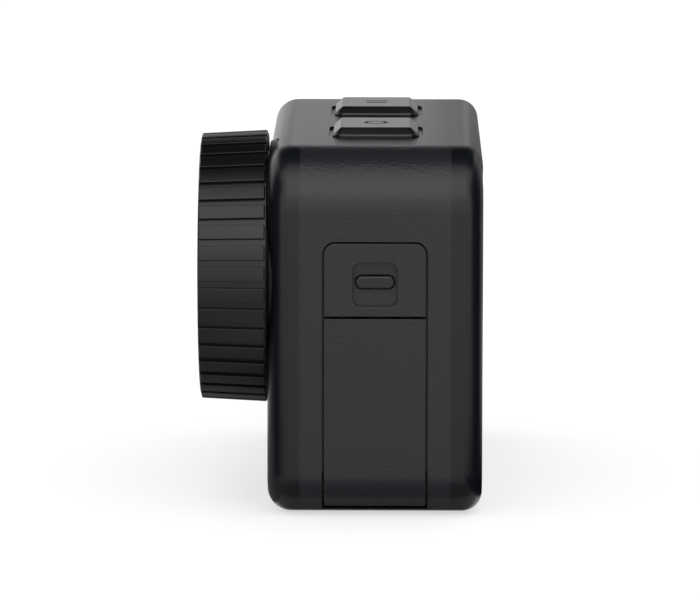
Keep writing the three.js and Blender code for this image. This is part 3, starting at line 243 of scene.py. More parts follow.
def sharp(edge, degrees=50):
    return edge.is_manifold and edge.calc_face_angle(0) > math.radians(degrees)


def in_plane(axis, value):
    """A test for edges that lie in one plane across an axis."""
    i = "XYZ".index(axis)
    return lambda edge, a, b: near(a[i], value) and near(b[i], value)


def upper_corners(top):
    """A test for the edges along X at the top of a door or flap."""
    return lambda edge, a, b: near(a.z, top) and near(b.z, top) and near(a.y, b.y)


def rounded_block(name, axis, radius, x0, x1, y0, y1, z0, z1, steps=8):
    """A block whose four edges along one axis are round."""
    piece = block(name, x0, x1, y0, y1, z0, z1)
    along = "XYZ".index(axis)
    others = [i for i in range(3) if i != along]
    round_edges(piece, lambda e, a, b: all(near(a[i], b[i]) for i in others), radius, steps)
    return piece


def smooth(piece, degrees=35):
    choose(piece)
    bpy.ops.object.shade_smooth_by_angle(angle=math.radians(degrees))
    weight = piece.modifiers.new("weight", "WEIGHTED_NORMAL")
    weight.keep_sharp = True
    weight.weight = 100
    bpy.ops.object.modifier_apply(modifier=weight.name)


def copy_turned(piece, angle):
    """A copy with its own mesh, turned about the lens axis."""
    twin = piece.copy()
    twin.data = piece.data.copy()
    bpy.context.scene.collection.objects.link(twin)
    centre = Vector((LENS_X, 0, LENS_Z)) * MM
    turn = Matrix.Translation(centre) @ Matrix.Rotation(angle, 4, "Y") @ Matrix.Translation(-centre)
    twin.data.transform(turn)
    return twin


def join(*pieces):
    choose(*pieces)
    bpy.ops.object.join()
    return bpy.context.object


def turned(name, outline, steps=96):
    """A closed outline of (radius, y) corners spun about the lens axis."""
    deselect()
    bpy.ops.mesh.primitive_circle_add(vertices=len(outline), fill_type="NGON", radius=1)
    piece = settle(name)
    bpy.ops.object.mode_set(mode="EDIT")
    mesh = bmesh.from_edit_mesh(piece.data)
    mesh.verts.ensure_lookup_table()
    for vert, (radius, y) in zip(mesh.verts, outline):
        vert.co = Vector((LENS_X + radius, y, LENS_Z)) * MM
    bmesh.update_edit_mesh(piece.data)
    bpy.ops.mesh.select_all(action="SELECT")
    bpy.ops.mesh.delete(type="ONLY_FACE")
    bpy.ops.mesh.select_all(action="SELECT")
    bpy.ops.mesh.spin(
        steps=steps,
        angle=2 * math.pi,
        center=Vector((LENS_X, 0, LENS_Z)) * MM,
        axis=(0, 1, 0),
    )
    bpy.ops.mesh.select_all(action="SELECT")
    bpy.ops.mesh.remove_doubles(threshold=0.002 * MM)
    bpy.ops.mesh.normals_make_consistent(inside=False)
    bpy.ops.object.mode_set(mode="OBJECT")
    return piece


# ---------- Materials ----------


def linear(value):
    """sRGB hex to linear red, green, blue and alpha."""
    channels = [int(value[i : i + 2], 16) / 255 for i in (1, 3, 5)]
    out = [c / 12.92 if c <= 0.04045 else ((c + 0.055) / 1.055) ** 2.4 for c in channels]
    return (*out, 1.0)


def grey(value):
    return (value, value, value, 1.0)


def feed(tree, node, links):
    """Fills a node's sockets with plain values or with other nodes' outputs."""
    for key, value in links.items():
        socket = node.inputs[key]
        if isinstance(value, bpy.types.NodeSocket):
            tree.links.new(value, socket)
        else:
            socket.default_value = value


def put(tree, kind, links=None, **settings):
    """Adds a node. Settings are its own, and links fill its sockets."""
    made = tree.nodes.new(kind)
    for key, value in settings.items():
        setattr(made, key, value)
    feed(tree, made, links or {})
    return made


def calculate(tree, how, first, second):
    return put(tree, "ShaderNodeMath", {0: first, 1: second}, operation=how).outputs["Value"]


def remap(tree, value, start, end, low=0.0, high=1.0):
    """Turns a span of values into another and holds both its ends."""
    span = {"From Min": start, "From Max": end, "To Min": low, "To Max": high}
    return put(tree, "ShaderNodeMapRange", {"Value": value, **span}).outputs["Result"]


def spots(tree, place, size, detail):
    """Noise whose spots have a real size in millimetres."""
    links = {"Vector": place, "Scale": 1 / (size * MM), "Detail": detail}
    return put(tree, "ShaderNodeTexNoise", links).outputs["Fac"]


def relief(tree, height, strength, depth, **under):
    """A normal that is bumped by a height, over another normal where one is given."""
    links = {"Height": height, "Strength": strength, "Distance": depth * MM, **under}
    return put(tree, "ShaderNodeBump", links).outputs["Normal"]


def ramp(tree, source, stops):
    made = put(tree, "ShaderNodeValToRGB", {"Fac": source})
    elements = made.color_ramp.elements
    while len(elements) < len(stops):
        elements.new(0.5)
    for element, (place, colour) in zip(elements, stops):
        element.position = place
        element.color = colour
    return made.outputs["Color"]


def empty_tree(holder):
    """The node tree of a material or world, cleared of its first nodes."""
    holder.use_nodes = True
    holder.node_tree.nodes.clear()
    return holder.node_tree


def blank(name):
    """A material that holds only its shader and output."""
    made = bpy.data.materials.new(name)
    tree = empty_tree(made)
    shader = put(tree, "ShaderNodeBsdfPrincipled")
    put(tree, "ShaderNodeOutputMaterial", {"Surface": shader.outputs["BSDF"]})
    return made, tree, shader


# Leather grain: size of a cell, its stretch along X, Y and Z, and the mean height of its pattern
GRAIN_CELL = 0.54
GRAIN_STRETCH = (1.0, 0.76, 1.4)
GRAIN_MEAN = 0.85
# The grained band along Y, from where it starts to where it is full, at its front and at its rear
BAND_FRONT = (-5.63 * MM, -5.55 * MM)
BAND_REAR = (15.3 * MM, 15.22 * MM)
# Heights between which the side rolls into the top
ROLL = (43.5 * MM, 47 * MM)


def moulded_abs_with_grain():
    """Moulded ABS: dull satin borders and a band pressed with a fine leather grain."""
    made, tree, shader = blank("moulded_abs_leather_grain")
    place = put(tree, "ShaderNodeTexCoord").outputs["Object"]
    parts = put(tree, "ShaderNodeSeparateXYZ", {"Vector": place}).outputs
    # Grain cells about 0.7 mm long and half as high, as on the photographed side
    mapping = put(tree, "ShaderNodeMapping", {"Vector": place, "Scale": GRAIN_STRETCH})
    stretched = mapping.outputs["Vector"]
    cells = put(
        tree,
        "ShaderNodeTexVoronoi",
        {"Vector": stretched, "Scale": 1 / (GRAIN_CELL * MM), "Randomness": 1.0},
        feature="SMOOTH_F1",
    )
    fine = spots(tree, stretched, size=0.4, detail=3.0)
    front = remap(tree, parts["Y"], *BAND_FRONT)
    rear = remap(tree, parts["Y"], *BAND_REAR)
    band = calculate(tree, "MULTIPLY", front, rear)
    height = calculate(tree, "ADD", cells.outputs["Distance"], fine)
    # Taken off its mean, so that the grain's border shows no step
    level = calculate(tree, "SUBTRACT", height, GRAIN_MEAN)
    # Pressed twice as deep where the side has rolled into the top
    depth = remap(tree, parts["Z"], *ROLL, low=1.0, high=2.0)
    deep = calculate(tree, "MULTIPLY", level, depth)
    pressed = calculate(tree, "MULTIPLY", deep, band)
    satin = spots(tree, place, size=0.08, detail=2.0)
    grained = relief(tree, pressed, strength=0.45, depth=0.04)
    links = {
        "Base Color": ramp(tree, band, [(0.0, linear("#0f1217")), (1.0, linear("#222428"))]),
        "Roughness": remap(tree, band, 0.0, 1.0, low=0.3, high=0.31),
        "Normal": relief(tree, satin, strength=0.25, depth=0.004, Normal=grained),
        "IOR": 1.5,
    }
    feed(tree, shader, links)
    return made


def fine_satin(name, colour, roughness, strength=0.3, metallic=0.0, ior=1.5):
    """A plain material with a faint fine texture and a slight change of tone."""
    made, tree, shader = blank(name)
    place = put(tree, "ShaderNodeTexCoord").outputs["Object"]
    speck = spots(tree, place, size=0.09, detail=2.0)
    broad = spots(tree, place, size=6, detail=1.0)
    base = linear(colour)[:3]
    dark = (*[0.9 * channel for channel in base], 1.0)
    light = (*[1.1 * channel for channel in base], 1.0)
    smoother, rougher = max(roughness - 0.04, 0.02), roughness + 0.04
    links = {
        "Base Color": ramp(tree, broad, [(0.35, dark), (0.65, light)]),
        "Roughness": remap(tree, speck, 0.0, 1.0, low=smoother, high=rougher),
        "Normal": relief(tree, speck, strength, depth=0.004),
        "Metallic": metallic,
        "IOR": ior,
    }
    feed(tree, shader, links)
    return made


def coated_optical_glass(name, tint, coating, clearness):
    """Polished optical glass with a faint coloured coating, seen at a slant."""
    made, tree, shader = blank(name)
    slant = put(tree, "ShaderNodeLayerWeight", {"Blend": 0.35}).outputs["Facing"]
    links = {
        "Base Color": ramp(tree, slant, [(0.0, linear(tint)), (1.0, linear(coating))]),
        "Roughness": 0.02,
        "IOR": 1.5,
        "Transmission Weight": clearness,
    }
    feed(tree, shader, links)
    return made


def circuit_board():
    """Glass-fibre board with green solder mask over fine copper tracks."""
    made, tree, shader = blank("solder_mask_board")
    tracks = put(
        tree,
        "ShaderNodeTexBrick",
        {
            "Vector": put(tree, "ShaderNodeTexCoord").outputs["Object"],
            "Color1": linear("#17432f"),
            "Color2": linear("#1f5138"),
            "Mortar": linear("#2f6a45"),
            "Scale": 1 / (2.2 * MM),
            "Mortar Size": 0.03,
        },
    )
    feed(tree, shader, {"Base Color": tracks.outputs["Color"], "Roughness": 0.35})
    return made


MATERIALS = {
    "grained": moulded_abs_with_grain(),
    "button": fine_satin("moulded_abs_satin", "#17181a", 0.24, ior=1.55),
    "ring": fine_satin("glass_filled_nylon_ring", "#0f1012", 0.3),
    "anodised": fine_satin("anodised_aluminium_black", "#1b1c1e", 0.38, metallic=0.7),
    "liner": fine_satin("black_polycarbonate", "#0c0c0d", 0.6),
    "oxide": fine_satin("black_oxide_steel", "#101011", 0.5, metallic=0.7),
    "hood": fine_satin("matt_black_baffle", "#0d0e0f", 0.7),
    "rubber": fine_satin("silicone_rubber", "#151617", 0.8, strength=0.5),
    "steel": fine_satin("stainless_steel", "#a3a6aa", 0.3, metallic=1.0),
    "brass": fine_satin("gold_plated_brass", "#c9a14e", 0.3, metallic=1.0),
    "aluminium": fine_satin("rolled_aluminium", "#b4b6b8", 0.4, metallic=1.0),
    "chip": fine_satin("epoxy_moulded_chip", "#131415", 0.55),
    "wrap": fine_satin("battery_case_abs", "#2b2c2f", 0.5),
    "mark": fine_satin("black_ink", "#070708", 0.9),
    "screen": fine_satin("black_backed_glass", "#060708", 0.08, strength=0.0),
    "panel": fine_satin("screen_panel", "#0b0c0f", 0.25, strength=0.0),
    "board": circuit_board(),
    "cover_glass": coated_optical_glass("hardened_cover_glass", "#f2f6f8", "#dfe8ec", 1.0),
    "front_lens": coated_optical_glass("coated_front_lens", "#e6e4f4", "#6a5fa8", 1.0),
    "light": coated_optical_glass("clear_light_pipe", "#e8ecee", "#c9ced2", 0.6),
}


def dress(piece, material):
    piece.data.materials.clear()
    piece.data.materials.append(MATERIALS[material])
    for face in piece.data.polygons:
        face.material_index = 0


def finish(piece, material, body, slot, *stands_for):
    dress(piece, material)
    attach(piece, body)
    if stands_for:
        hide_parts(*stands_for)


# ---------- Housing ----------

# Rounding of the rims of its openings
SHELL_RIM = 0.09
# Both ends along X, Y and Z of the hollow inside the shell and of the hole at its rear
CAVITY = (-33.7, 33.7, -6.7, 16.3, 3, 49.2)
REAR_HOLE = (-32.3, 32.3, 15.3, 20.7, 3.2, 47.8)
# Sills behind door and flap, and the height from which they and the boss grow out of the base
SILL_BACK, SILL_FACE, SILL_HALF = 31.9, 34, 8.6
DOOR_SILL_TOP = 39.85
FLAP_SILL_Z = (7.35, 31.55)
BASE_ROOT = 2.7
# The tripod insert's boss and bore, and the posts that hold the button board below the roof
BOSS_RADIUS, BOSS_TOP, INSERT_BORE = 6.7, 5.7, 5.3
POST_RADIUS, POST_X, POST_FOOT, POST_ROOT = 1.2, 23.5, 46.3, 49.5
# Ways through the sills: both ends along X, half the width, and both ends in height
BATTERY_WAY_X, BATTERY_WAY_HALF, BATTERY_WAY_Z = (30.9, 35.5), 6.3, (7, 37)
CATCH_X, CATCH_HALF, CATCH_Z = (32.6, 34.2), 2.35, (22, 38.1)
PLUG_WAY_X, PLUG_WAY_HALF, PLUG_WAY_Z = (-35.5, -30.9), 6.2, (13, 29)
FLAP_RECESS_X = (-36.5, -33.9)
# A button's well and the close guide below it: half sizes along X and Y, corner, and height
WELL_X, WELL_Y, WELL_CORNER, WELL_Z = 7.6, 6.6, 2.8, (50.6, 52)
GUIDE_X, GUIDE_Y, GUIDE_CORNER, GUIDE_Z = 7.07, 6.07, 1.65, (48.2, 51)
# Places along Y: before the shell, behind its front wall, and the floors of the front pockets
BEFORE_FRONT, BEHIND_WALL = -12, -5.7
LENS_POCKET_FLOOR, WINDOW_POCKET_FLOOR = -8.2, -7.25
LENS_POCKET_RADIUS, BARREL_WAY_RADIUS, WINDOW_POCKET_CORNER = 17.9, 8.5, 3.3
# The light and the microphone holes under the small screen, and the mount's screws
SOUND_Z, SOUND_PITCH, SOUND_RADIUS = 10.5, 1.6, 0.45
LIGHT_OFFSET, LIGHT_RADIUS = 7, 1.1
SCREW_CIRCLE, SCREW_HOLE, SCREW_Y = 12.15, 0.6, (-9.1, -7)
# Speaker slots: both ends along X, pitch, half width, corner and half height
SLOT_X, SLOT_PITCH, SLOT_HALF, SLOT_CORNER, SLOT_REACH = (-36.5, -32.7), 1.8, 0.4, 0.395, 3
# Notches in the base: place and half size along X, half size along Y, corner and height
NOTCH_X, NOTCH_HALF_X, NOTCH_HALF_Y, NOTCH_CORNER, NOTCH_Z = 20, 1.5, 6, 0.75, (-1, 1.6)


def on_skin(point):
    """True where a point lies on the outer face that runs round the sides, top and base."""
    across = max(abs(point.x) - (BODY_HIGH.x - CORNER), 0)
    up = max(abs(point.z - MID_Z) - (MID_Z - CORNER), 0)
    inside = BODY_LOW.y + FRONT_FILLET < point.y < BODY_HIGH.y - REAR_FILLET
    return inside and near(math.hypot(across, up), CORNER)


def shell_block():
    """The outer form, hollow and open at the rear."""
    shell = block("housing_shell", *limits(BODY_LOW, BODY_HIGH))
    for z, corner in ((BODY_LOW.z, CORNER), (BODY_HIGH.z, TOP_CORNER)):

        def side_edges(edge, a, b):
            level = near(a.z, z) and near(b.z, z)
            return level and near(a.x, b.x) and near(abs(a.x), BODY_HIGH.x)

        round_edges(shell, side_edges, corner, steps=18)
    round_edges(shell, in_plane("Y", BODY_LOW.y), FRONT_FILLET, steps=10)
    round_edges(shell, in_plane("Y", BODY_HIGH.y), REAR_FILLET, steps=10)
    cut(
        shell,
        rounded_block("cavity", "Y", 4.2, *CAVITY),
        rounded_block("rear_hole", "Y", 2.8, *REAR_HOLE, steps=12),
    )
    return shell


def add_supports(shell):
    """Sills behind both flaps, the tripod insert's boss and the button board's posts."""
    side = about(MID_Y, SILL_HALF)
    add(
        shell,
        block("door_sill", SILL_BACK, SILL_FACE, *side, BASE_ROOT, DOOR_SILL_TOP),
        block("flap_sill", -SILL_FACE, -SILL_BACK, *side, *FLAP_SILL_Z),
        rod("insert_boss", "Z", BOSS_RADIUS, BASE_ROOT, BOSS_TOP, (0, MID_Y), sides=48),
        rod("post_right", "Z", POST_RADIUS, POST_FOOT, POST_ROOT, (POST_X, MID_Y), sides=24),
        rod("post_left", "Z", POST_RADIUS, POST_FOOT, POST_ROOT, (-POST_X, MID_Y), sides=24),
    )


def door_pocket():
    """Recess for the battery door: a flat part, a bend round the corner and the knuckle's seat."""
    side = DOOR_LOW.y - DOOR_GAP, DOOR_HIGH.y + DOOR_GAP
    top = PANEL_HIGH.z + DOOR_GAP
    inner = BODY_HIGH.x - SKIN - GAP
    flat = block("pocket_flat", inner, BODY_HIGH.x + 1, *side, CORNER, top)
    round_edges(flat, upper_corners(top), RECESS_CORNER, steps=8)
    x, z = BODY_HIGH.x - CORNER, CORNER
    bend = rod("pocket_bend", "Y", CORNER + 1, *side, (x, z), sides=192)
    core = (CORNER - SKIN - GAP, side[0] - 1, side[1] + 1)
    cut(bend, rod("bend_core", "Y", *core, (x, z), sides=192))
    slice_off(bend, (x, 0, z), (0, 0, -1))
    slice_off(bend, (x, 0, z), HINGE_NORMAL)
    seat = rod("pocket_seat", "Y", SEAT, *side, DOOR_HINGE, sides=48)
    return flat, bend, seat


def open_battery_side(shell):
    cut(shell, *door_pocket())
    cut(
        shell,
        rod("door_bore", "Y", PIN, *about(MID_Y, PIN_HALF), DOOR_HINGE, sides=24),
        rounded_block(
            "battery_way", "X", 1.9, *BATTERY_WAY_X, *about(MID_Y, BATTERY_WAY_HALF), *BATTERY_WAY_Z
        ),
        block("catch", *CATCH_X, *about(MID_Y, CATCH_HALF), *CATCH_Z),
    )


def open_port_side(shell):
    side = about(MID_Y, (FLAP_HIGH.y - FLAP_LOW.y) / 2 + DOOR_GAP)
    top = FLAP_HIGH.z + DOOR_GAP
    recess = block("flap_recess", *FLAP_RECESS_X, *side, FLAP_HINGE[1], top)
    round_edges(recess, upper_corners(top), RECESS_CORNER, steps=8)
    cut(
        shell,
        recess,
        rod("flap_seat", "Y", SEAT, *side, FLAP_HINGE, sides=48),
        rod("flap_bore", "Y", PIN, *about(MID_Y, PIN_HALF), FLAP_HINGE, sides=24),
        rounded_block(
            "plug_way", "X", 2.3, *PLUG_WAY_X, *about(MID_Y, PLUG_WAY_HALF), *PLUG_WAY_Z
        ),
    )


def open_top(shell):
    """A shallow well and a close guide for each button."""
    for name in ("shutter_button", "mode_button"):
        low, high = node_box(name)
        x = (low.x + high.x) / 2
        well = (*about(x, WELL_X), *about(MID_Y, WELL_Y), *WELL_Z)
        guide = (*about(x, GUIDE_X), *about(MID_Y, GUIDE_Y), *GUIDE_Z)
        cut(
            shell,
            rounded_block("well", "Z", WELL_CORNER, *well),
            rounded_block("guide", "Z", GUIDE_CORNER, *guide),
        )


def open_front(shell):
    """Places for the lens mount and the small screen, and holes for light, sound and screws."""
    low, high = node_box("front_glass")
    middle = (low.x + high.x) / 2
    across = (low.x - GAP, high.x + GAP, BEFORE_FRONT, WINDOW_POCKET_FLOOR)
    through = (BEFORE_FRONT, BEHIND_WALL)
    cut(
        shell,
        lens_rod("lens_pocket", LENS_POCKET_RADIUS, BEFORE_FRONT, LENS_POCKET_FLOOR, sides=160),
        lens_rod("barrel_way", BARREL_WAY_RADIUS, BODY_LOW.y, BEHIND_WALL, sides=64),
        rounded_block(
            "glass_pocket", "Y", WINDOW_POCKET_CORNER, *across, low.z - GAP, high.z + GAP
        ),
        rod("light_hole", "Y", LIGHT_RADIUS, *through, (middle + LIGHT_OFFSET, SOUND_Z), sides=24),
    )
    for i in range(3):
        place = (middle + (i - 1) * SOUND_PITCH, SOUND_Z)
        cut(shell, rod("sound_hole", "Y", SOUND_RADIUS, *through, place, sides=16))
    for i in range(4):
        place = on_circle(SCREW_CIRCLE, 45 + 90 * i)
        cut(shell, rod("screw_hole", "Y", SCREW_HOLE, *SCREW_Y, place, sides=16))


def open_speaker_and_base(shell):
    """Slots in front of the speaker, the tripod insert's bore and two notches beside it."""
    low, high = node_box("speaker")
    slot_z = about((low.z + high.z) / 2, SLOT_REACH)
    for i in range(5):
        slot_y = about(MID_Y + (i - 2) * SLOT_PITCH, SLOT_HALF)
        cut(shell, rounded_block("slot", "X", SLOT_CORNER, *SLOT_X, *slot_y, *slot_z, steps=4))
    cut(shell, rod("insert_way", "Z", INSERT_BORE, -1, BOSS_TOP + 1, (0, MID_Y)))
    for x in (-NOTCH_X, NOTCH_X):
        spans = (*about(x, NOTCH_HALF_X), *about(MID_Y, NOTCH_HALF_Y), *NOTCH_Z)
        cut(shell, rounded_block("clip_notch", "Z", NOTCH_CORNER, *spans, steps=4))


def shell_rim(edge, a, b):
    """Rims of the openings in the outer face, but not the lip beside the door's knuckle."""
    lip = a.z < 1.5 and b.z < 1.5 and a.x > 31 and abs(a.y - b.y) > 5
    front = near(a.y, BODY_LOW.y) and near(b.y, BODY_LOW.y)
    return sharp(edge) and not lip and ((on_skin(a) and on_skin(b)) or front)


def make_housing():
    shell = shell_block()
    add_supports(shell)
    open_battery_side(shell)
    open_port_side(shell)
    open_top(shell)
    open_front(shell)
    open_speaker_and_base(shell)
    round_edges(shell, shell_rim, SHELL_RIM, steps=2, clamp=True)
    smooth(shell)
    finish(shell, "grained", "camera_body", "textured_plastic", "housing")


# ---------- Lens ring and lens ----------

LUGS = 3
LUG_HALF_ANGLE = math.radians(25)
PADS = 40
PAD_HALF = 1.0
PAD_INSET = 0.14
# Radius of the pads at the ring's front and rear, the depth to which they reach into its core,
# and a radius between the core's surface and theirs
PAD_FRONT_RADIUS, PAD_REAR_RADIUS = 18.66, 19.14
PAD_ROOT, PAD_BAND = 17.9, 18.3
CORE_FRONT_RADIUS, CORE_REAR_RADIUS = 18.2, 18.7
GLASS_FRONT = RING_LOW.y + 1.8
HOOD_FRONT = GLASS_FRONT + 1.8


def bayonet_lug(i, outer, inner, front, rear, sides):
    """One of the three bayonet lugs: a slice of a tube about the lens axis."""
    lug = lens_rod("lug", outer, front, rear, sides)
    cut(lug, lens_rod("lug_core", inner, front - 1, rear + 1, 96))
    for side in (-1, 1):
        angle = math.radians(360 / LUGS * i) + side * LUG_HALF_ANGLE
        normal = (side * math.sin(angle), 0, -side * math.cos(angle))
        slice_off(lug, (LENS_X, 0, LENS_Z), normal)
    return lug


def raised_pad(front, rear):
    """One pad of the grip: a slice of the ring's outer layer with soft ends."""
    front, rear = front + PAD_INSET, rear - PAD_INSET
    pad = lens_rod("pad", PAD_FRONT_RADIUS, front, rear, 320, end_radius=PAD_REAR_RADIUS)
    spans = (LENS_X + PAD_ROOT, LENS_X + 20, RING_LOW.y, RING_HIGH.y, *about(LENS_Z, PAD_HALF))
    combine(pad, block("pad_bar", *spans), "INTERSECT")

    def outer(a, b):
        return min(math.hypot(p.x - LENS_X, p.z - LENS_Z) for p in (a, b)) > PAD_BAND

    for end, width in ((front, 0.14), (rear, 0.2)):
        at_end = in_plane("Y", end)
        round_edges(pad, lambda e, a, b: outer(a, b) and at_end(e, a, b), width, steps=4)
    round_edges(pad, lambda e, a, b: sharp(e) and outer(a, b), 0.08, steps=3, clamp=True)
    return pad


def make_lens_ring():
    front, rear = RING_LOW.y, RING_HIGH.y
    ring = lens_rod("ring_core", CORE_FRONT_RADIUS, front, rear, 160, CORE_REAR_RADIUS)
    # Each bore starts a hair inside the one before it, so that no two faces coincide
    hair = 0.0001
    seat_y, bore_y = front + 0.7, front + 4.4
    cut(
        ring,
        lens_rod("mouth", 16.7, front - 1, seat_y, 128, end_radius=15),
        lens_rod("glass_seat", 16.2, seat_y - hair, bore_y, 128),
        lens_rod("bore", 17.35, bore_y - hair, rear + 1, 128),
    )
    at_front = in_plane("Y", front)
    round_edges(ring, lambda e, a, b: at_front(e, a, b) and sharp(e, 30), 0.22, steps=3)
    for i in range(LUGS):
        ring = join(ring, bayonet_lug(i, 17.6, 16.6, front + 7.5, front + 8.5, 96))
    pad = raised_pad(front, rear)
    pitch = 360 / PADS
    pads = [copy_turned(pad, -math.radians(pitch * (i + 0.5))) for i in range(PADS)]
    bpy.data.objects.remove(pad)
    ring = join(ring, *pads)
    ring.name = "lens_ring_grip"
    smooth(ring, 30)
    finish(ring, "ring", "lens_ring_set", "ring_plastic", "lens_ring")


def make_mount():
    """Bayonet mount: a tube with three lugs on a screwed flange whose rim shows behind the ring."""
    low, high = node_box("lens_mount")
    flange, web, front, rear = RING_HIGH.y + GAP, high.y - 1, low.y, high.y
    mount = turned(
        "bayonet_mount",
        [
            (9.7, web),
            (14.6, web),
            (14.6, front + 0.15),
            (14.75, front),
            (16.05, front),
            (16.2, front + 0.15),
            (16.2, flange),
            (17.4, flange),
            (17.62, flange + 0.08),
            (17.7, flange + 0.3),
            (17.7, rear),
            (9.7, rear),
        ],
        160,
    )
    lug_rear = RING_HIGH.y - 2.2
    for i in range(LUGS):
        add(mount, bayonet_lug(i, 17.05, 14.9, lug_rear - 1, lug_rear, 128))
    for i in range(4):
        place = on_circle(SCREW_CIRCLE, 45 + 90 * i)
        cut(mount, rod("mount_hole", "Y", SCREW_HOLE, web - 1, rear + 1, place, 16))
    smooth(mount)
    finish(mount, "anodised", "camera_body", "black_aluminium", "lens_mount")


def make_cover_glass():
    rim, bevel, thickness = 15.9, 0.2, 1.5
    rear = GLASS_FRONT + thickness
    glass = turned(
        "lens_cover_glass",
        [
            (0, GLASS_FRONT),
            (rim - bevel, GLASS_FRONT),
            (rim, GLASS_FRONT + bevel),
            (rim, rear - bevel),
            (rim - bevel, rear),
            (0, rear),
        ],
    )
    smooth(glass)
    finish(glass, "cover_glass", "lens_ring_set", "clear_glass", "cover_glass")


def make_hood():
    """Light hood that narrows towards the lens in nine steps."""
    mouth, narrowing, depth, steps = 13.7, 4, 3.1, 9
    outline = [(mouth, HOOD_FRONT)]
    for i in range(steps):
        y = HOOD_FRONT + (i + 1) * depth / steps
        outline.append((mouth - i * narrowing / steps, y))
        outline.append((mouth - (i + 1) * narrowing / steps, y))
    outline += [
        (9.7, HOOD_FRONT + 3.9),
        (10.5, HOOD_FRONT + 3.9),
        (14.3, HOOD_FRONT + 0.8),
        (14.3, HOOD_FRONT),
    ]
    hood = turned("lens_hood_steps", outline)
    smooth(hood, 25)
    finish(hood, "hood", "camera_body", "satin_plastic", "lens_hood")


def arc_face(vertex_y, sag, radius, steps=10):
    """Points of a round lens face from the axis to its edge."""
    curve = (radius * radius + sag * sag) / (2 * sag)
    radii = [radius * i / steps for i in range(steps + 1)]
    return [(r, vertex_y + curve - math.sqrt(curve * curve - r * r)) for r in radii]


def make_front_lens_and_barrel():
    low, high = node_box("lens_barrel")
    front, rear = low.y, high.y
    dome_y = front - 1.3
    face = arc_face(dome_y, 2.44, 7.9, 14)
    hollow = arc_face(dome_y + 1.84, 1.4, 5.2)
    dome = turned("front_lens", face + [(7.9, dome_y + 3.24)] + hollow[::-1])
    smooth(dome, 40)
    finish(dome, "front_lens", "camera_body", "coated_glass", "front_element")

    seat = dome_y + 3.54
    flange_rear = -8.5
    barrel = turned(
        "barrel_body",
        [
            (6.3, seat),
            (8.2, seat),
            (8.2, front),
            (9.2, front),
            (9.4, front + 0.2),
            (9.4, flange_rear),
            (8.2, flange_rear),
            (8.2, rear),
            (4.8, rear),
            (4.8, rear - 1.5),
            (6.3, rear - 1.5),
        ],
    )
    smooth(barrel)
    finish(barrel, "anodised", "camera_body", "black_aluminium", "lens_barrel")

    keeper = turned(
        "front_lens_keeper",
        [
            (7.42, front + 0.1),
            (7.52, front),
            (7.9, front),
            (7.9, front + 0.5),
            (7.42, front + 0.5),
        ],
    )
    smooth(keeper)
    finish(keeper, "anodised", "camera_body", "black_aluminium", "element_keeper")


# ---------- Battery door ----------

# Rounding of the rims of door, latch panel and port flap
DOOR_RIM, FLAP_RIM = 0.11, 0.14
# How far the door's knuckle lies inside the solid's
KNUCKLE_INSET = 0.16
# Finger dish: its middle below the panel's top, half its width, its corner, depth and curve
DISH_DROP, DISH_HALF, DISH_CORNER = 5.7, 3.05, 1.1
DISH_DEPTH, DISH_CURVE = 0.85, 80
# Wall left round the dish at the panel's back, and the gap round the bar
DISH_WALL = 0.55
BAR_GAP = 0.16


def make_door():
    """Lower door: a flat part that bends round the housing's corner to its knuckle."""
    y0, y1 = DOOR_LOW.y, DOOR_HIGH.y
    x1, z1 = BODY_HIGH.x, BODY_HIGH.z
    door = rounded_block("door_lower", "Y", CORNER, -x1, x1, y0, y1, 0, z1, steps=24)
    inner = (-x1 + SKIN, x1 - SKIN, y0 - 2, y1 + 2, SKIN, z1 - SKIN)
    cut(door, rounded_block("door_inside", "Y", CORNER - SKIN, *inner, steps=24))
    centre = (x1 - CORNER, 0, CORNER)
    slice_off(door, (0, 0, DOOR_HIGH.z), (0, 0, -1))
    slice_off(door, centre, (1, 0, 0))
    slice_off(door, centre, HINGE_NORMAL)
    add(door, rod("knuckle", "Y", KNUCKLE - KNUCKLE_INSET, y0, y1, DOOR_HINGE, sides=48))
    cut(door, rod("door_pin_way", "Y", PIN, y0 - 1, y1 + 1, DOOR_HINGE, sides=24))

    def rim(edge, a, b):
        return sharp(edge) and on_skin(a) and on_skin(b)

    round_edges(door, rim, DOOR_RIM, steps=3, clamp=True)
    smooth(door)
    finish(door, "grained", "battery_door_set", "textured_plastic", "battery_door")


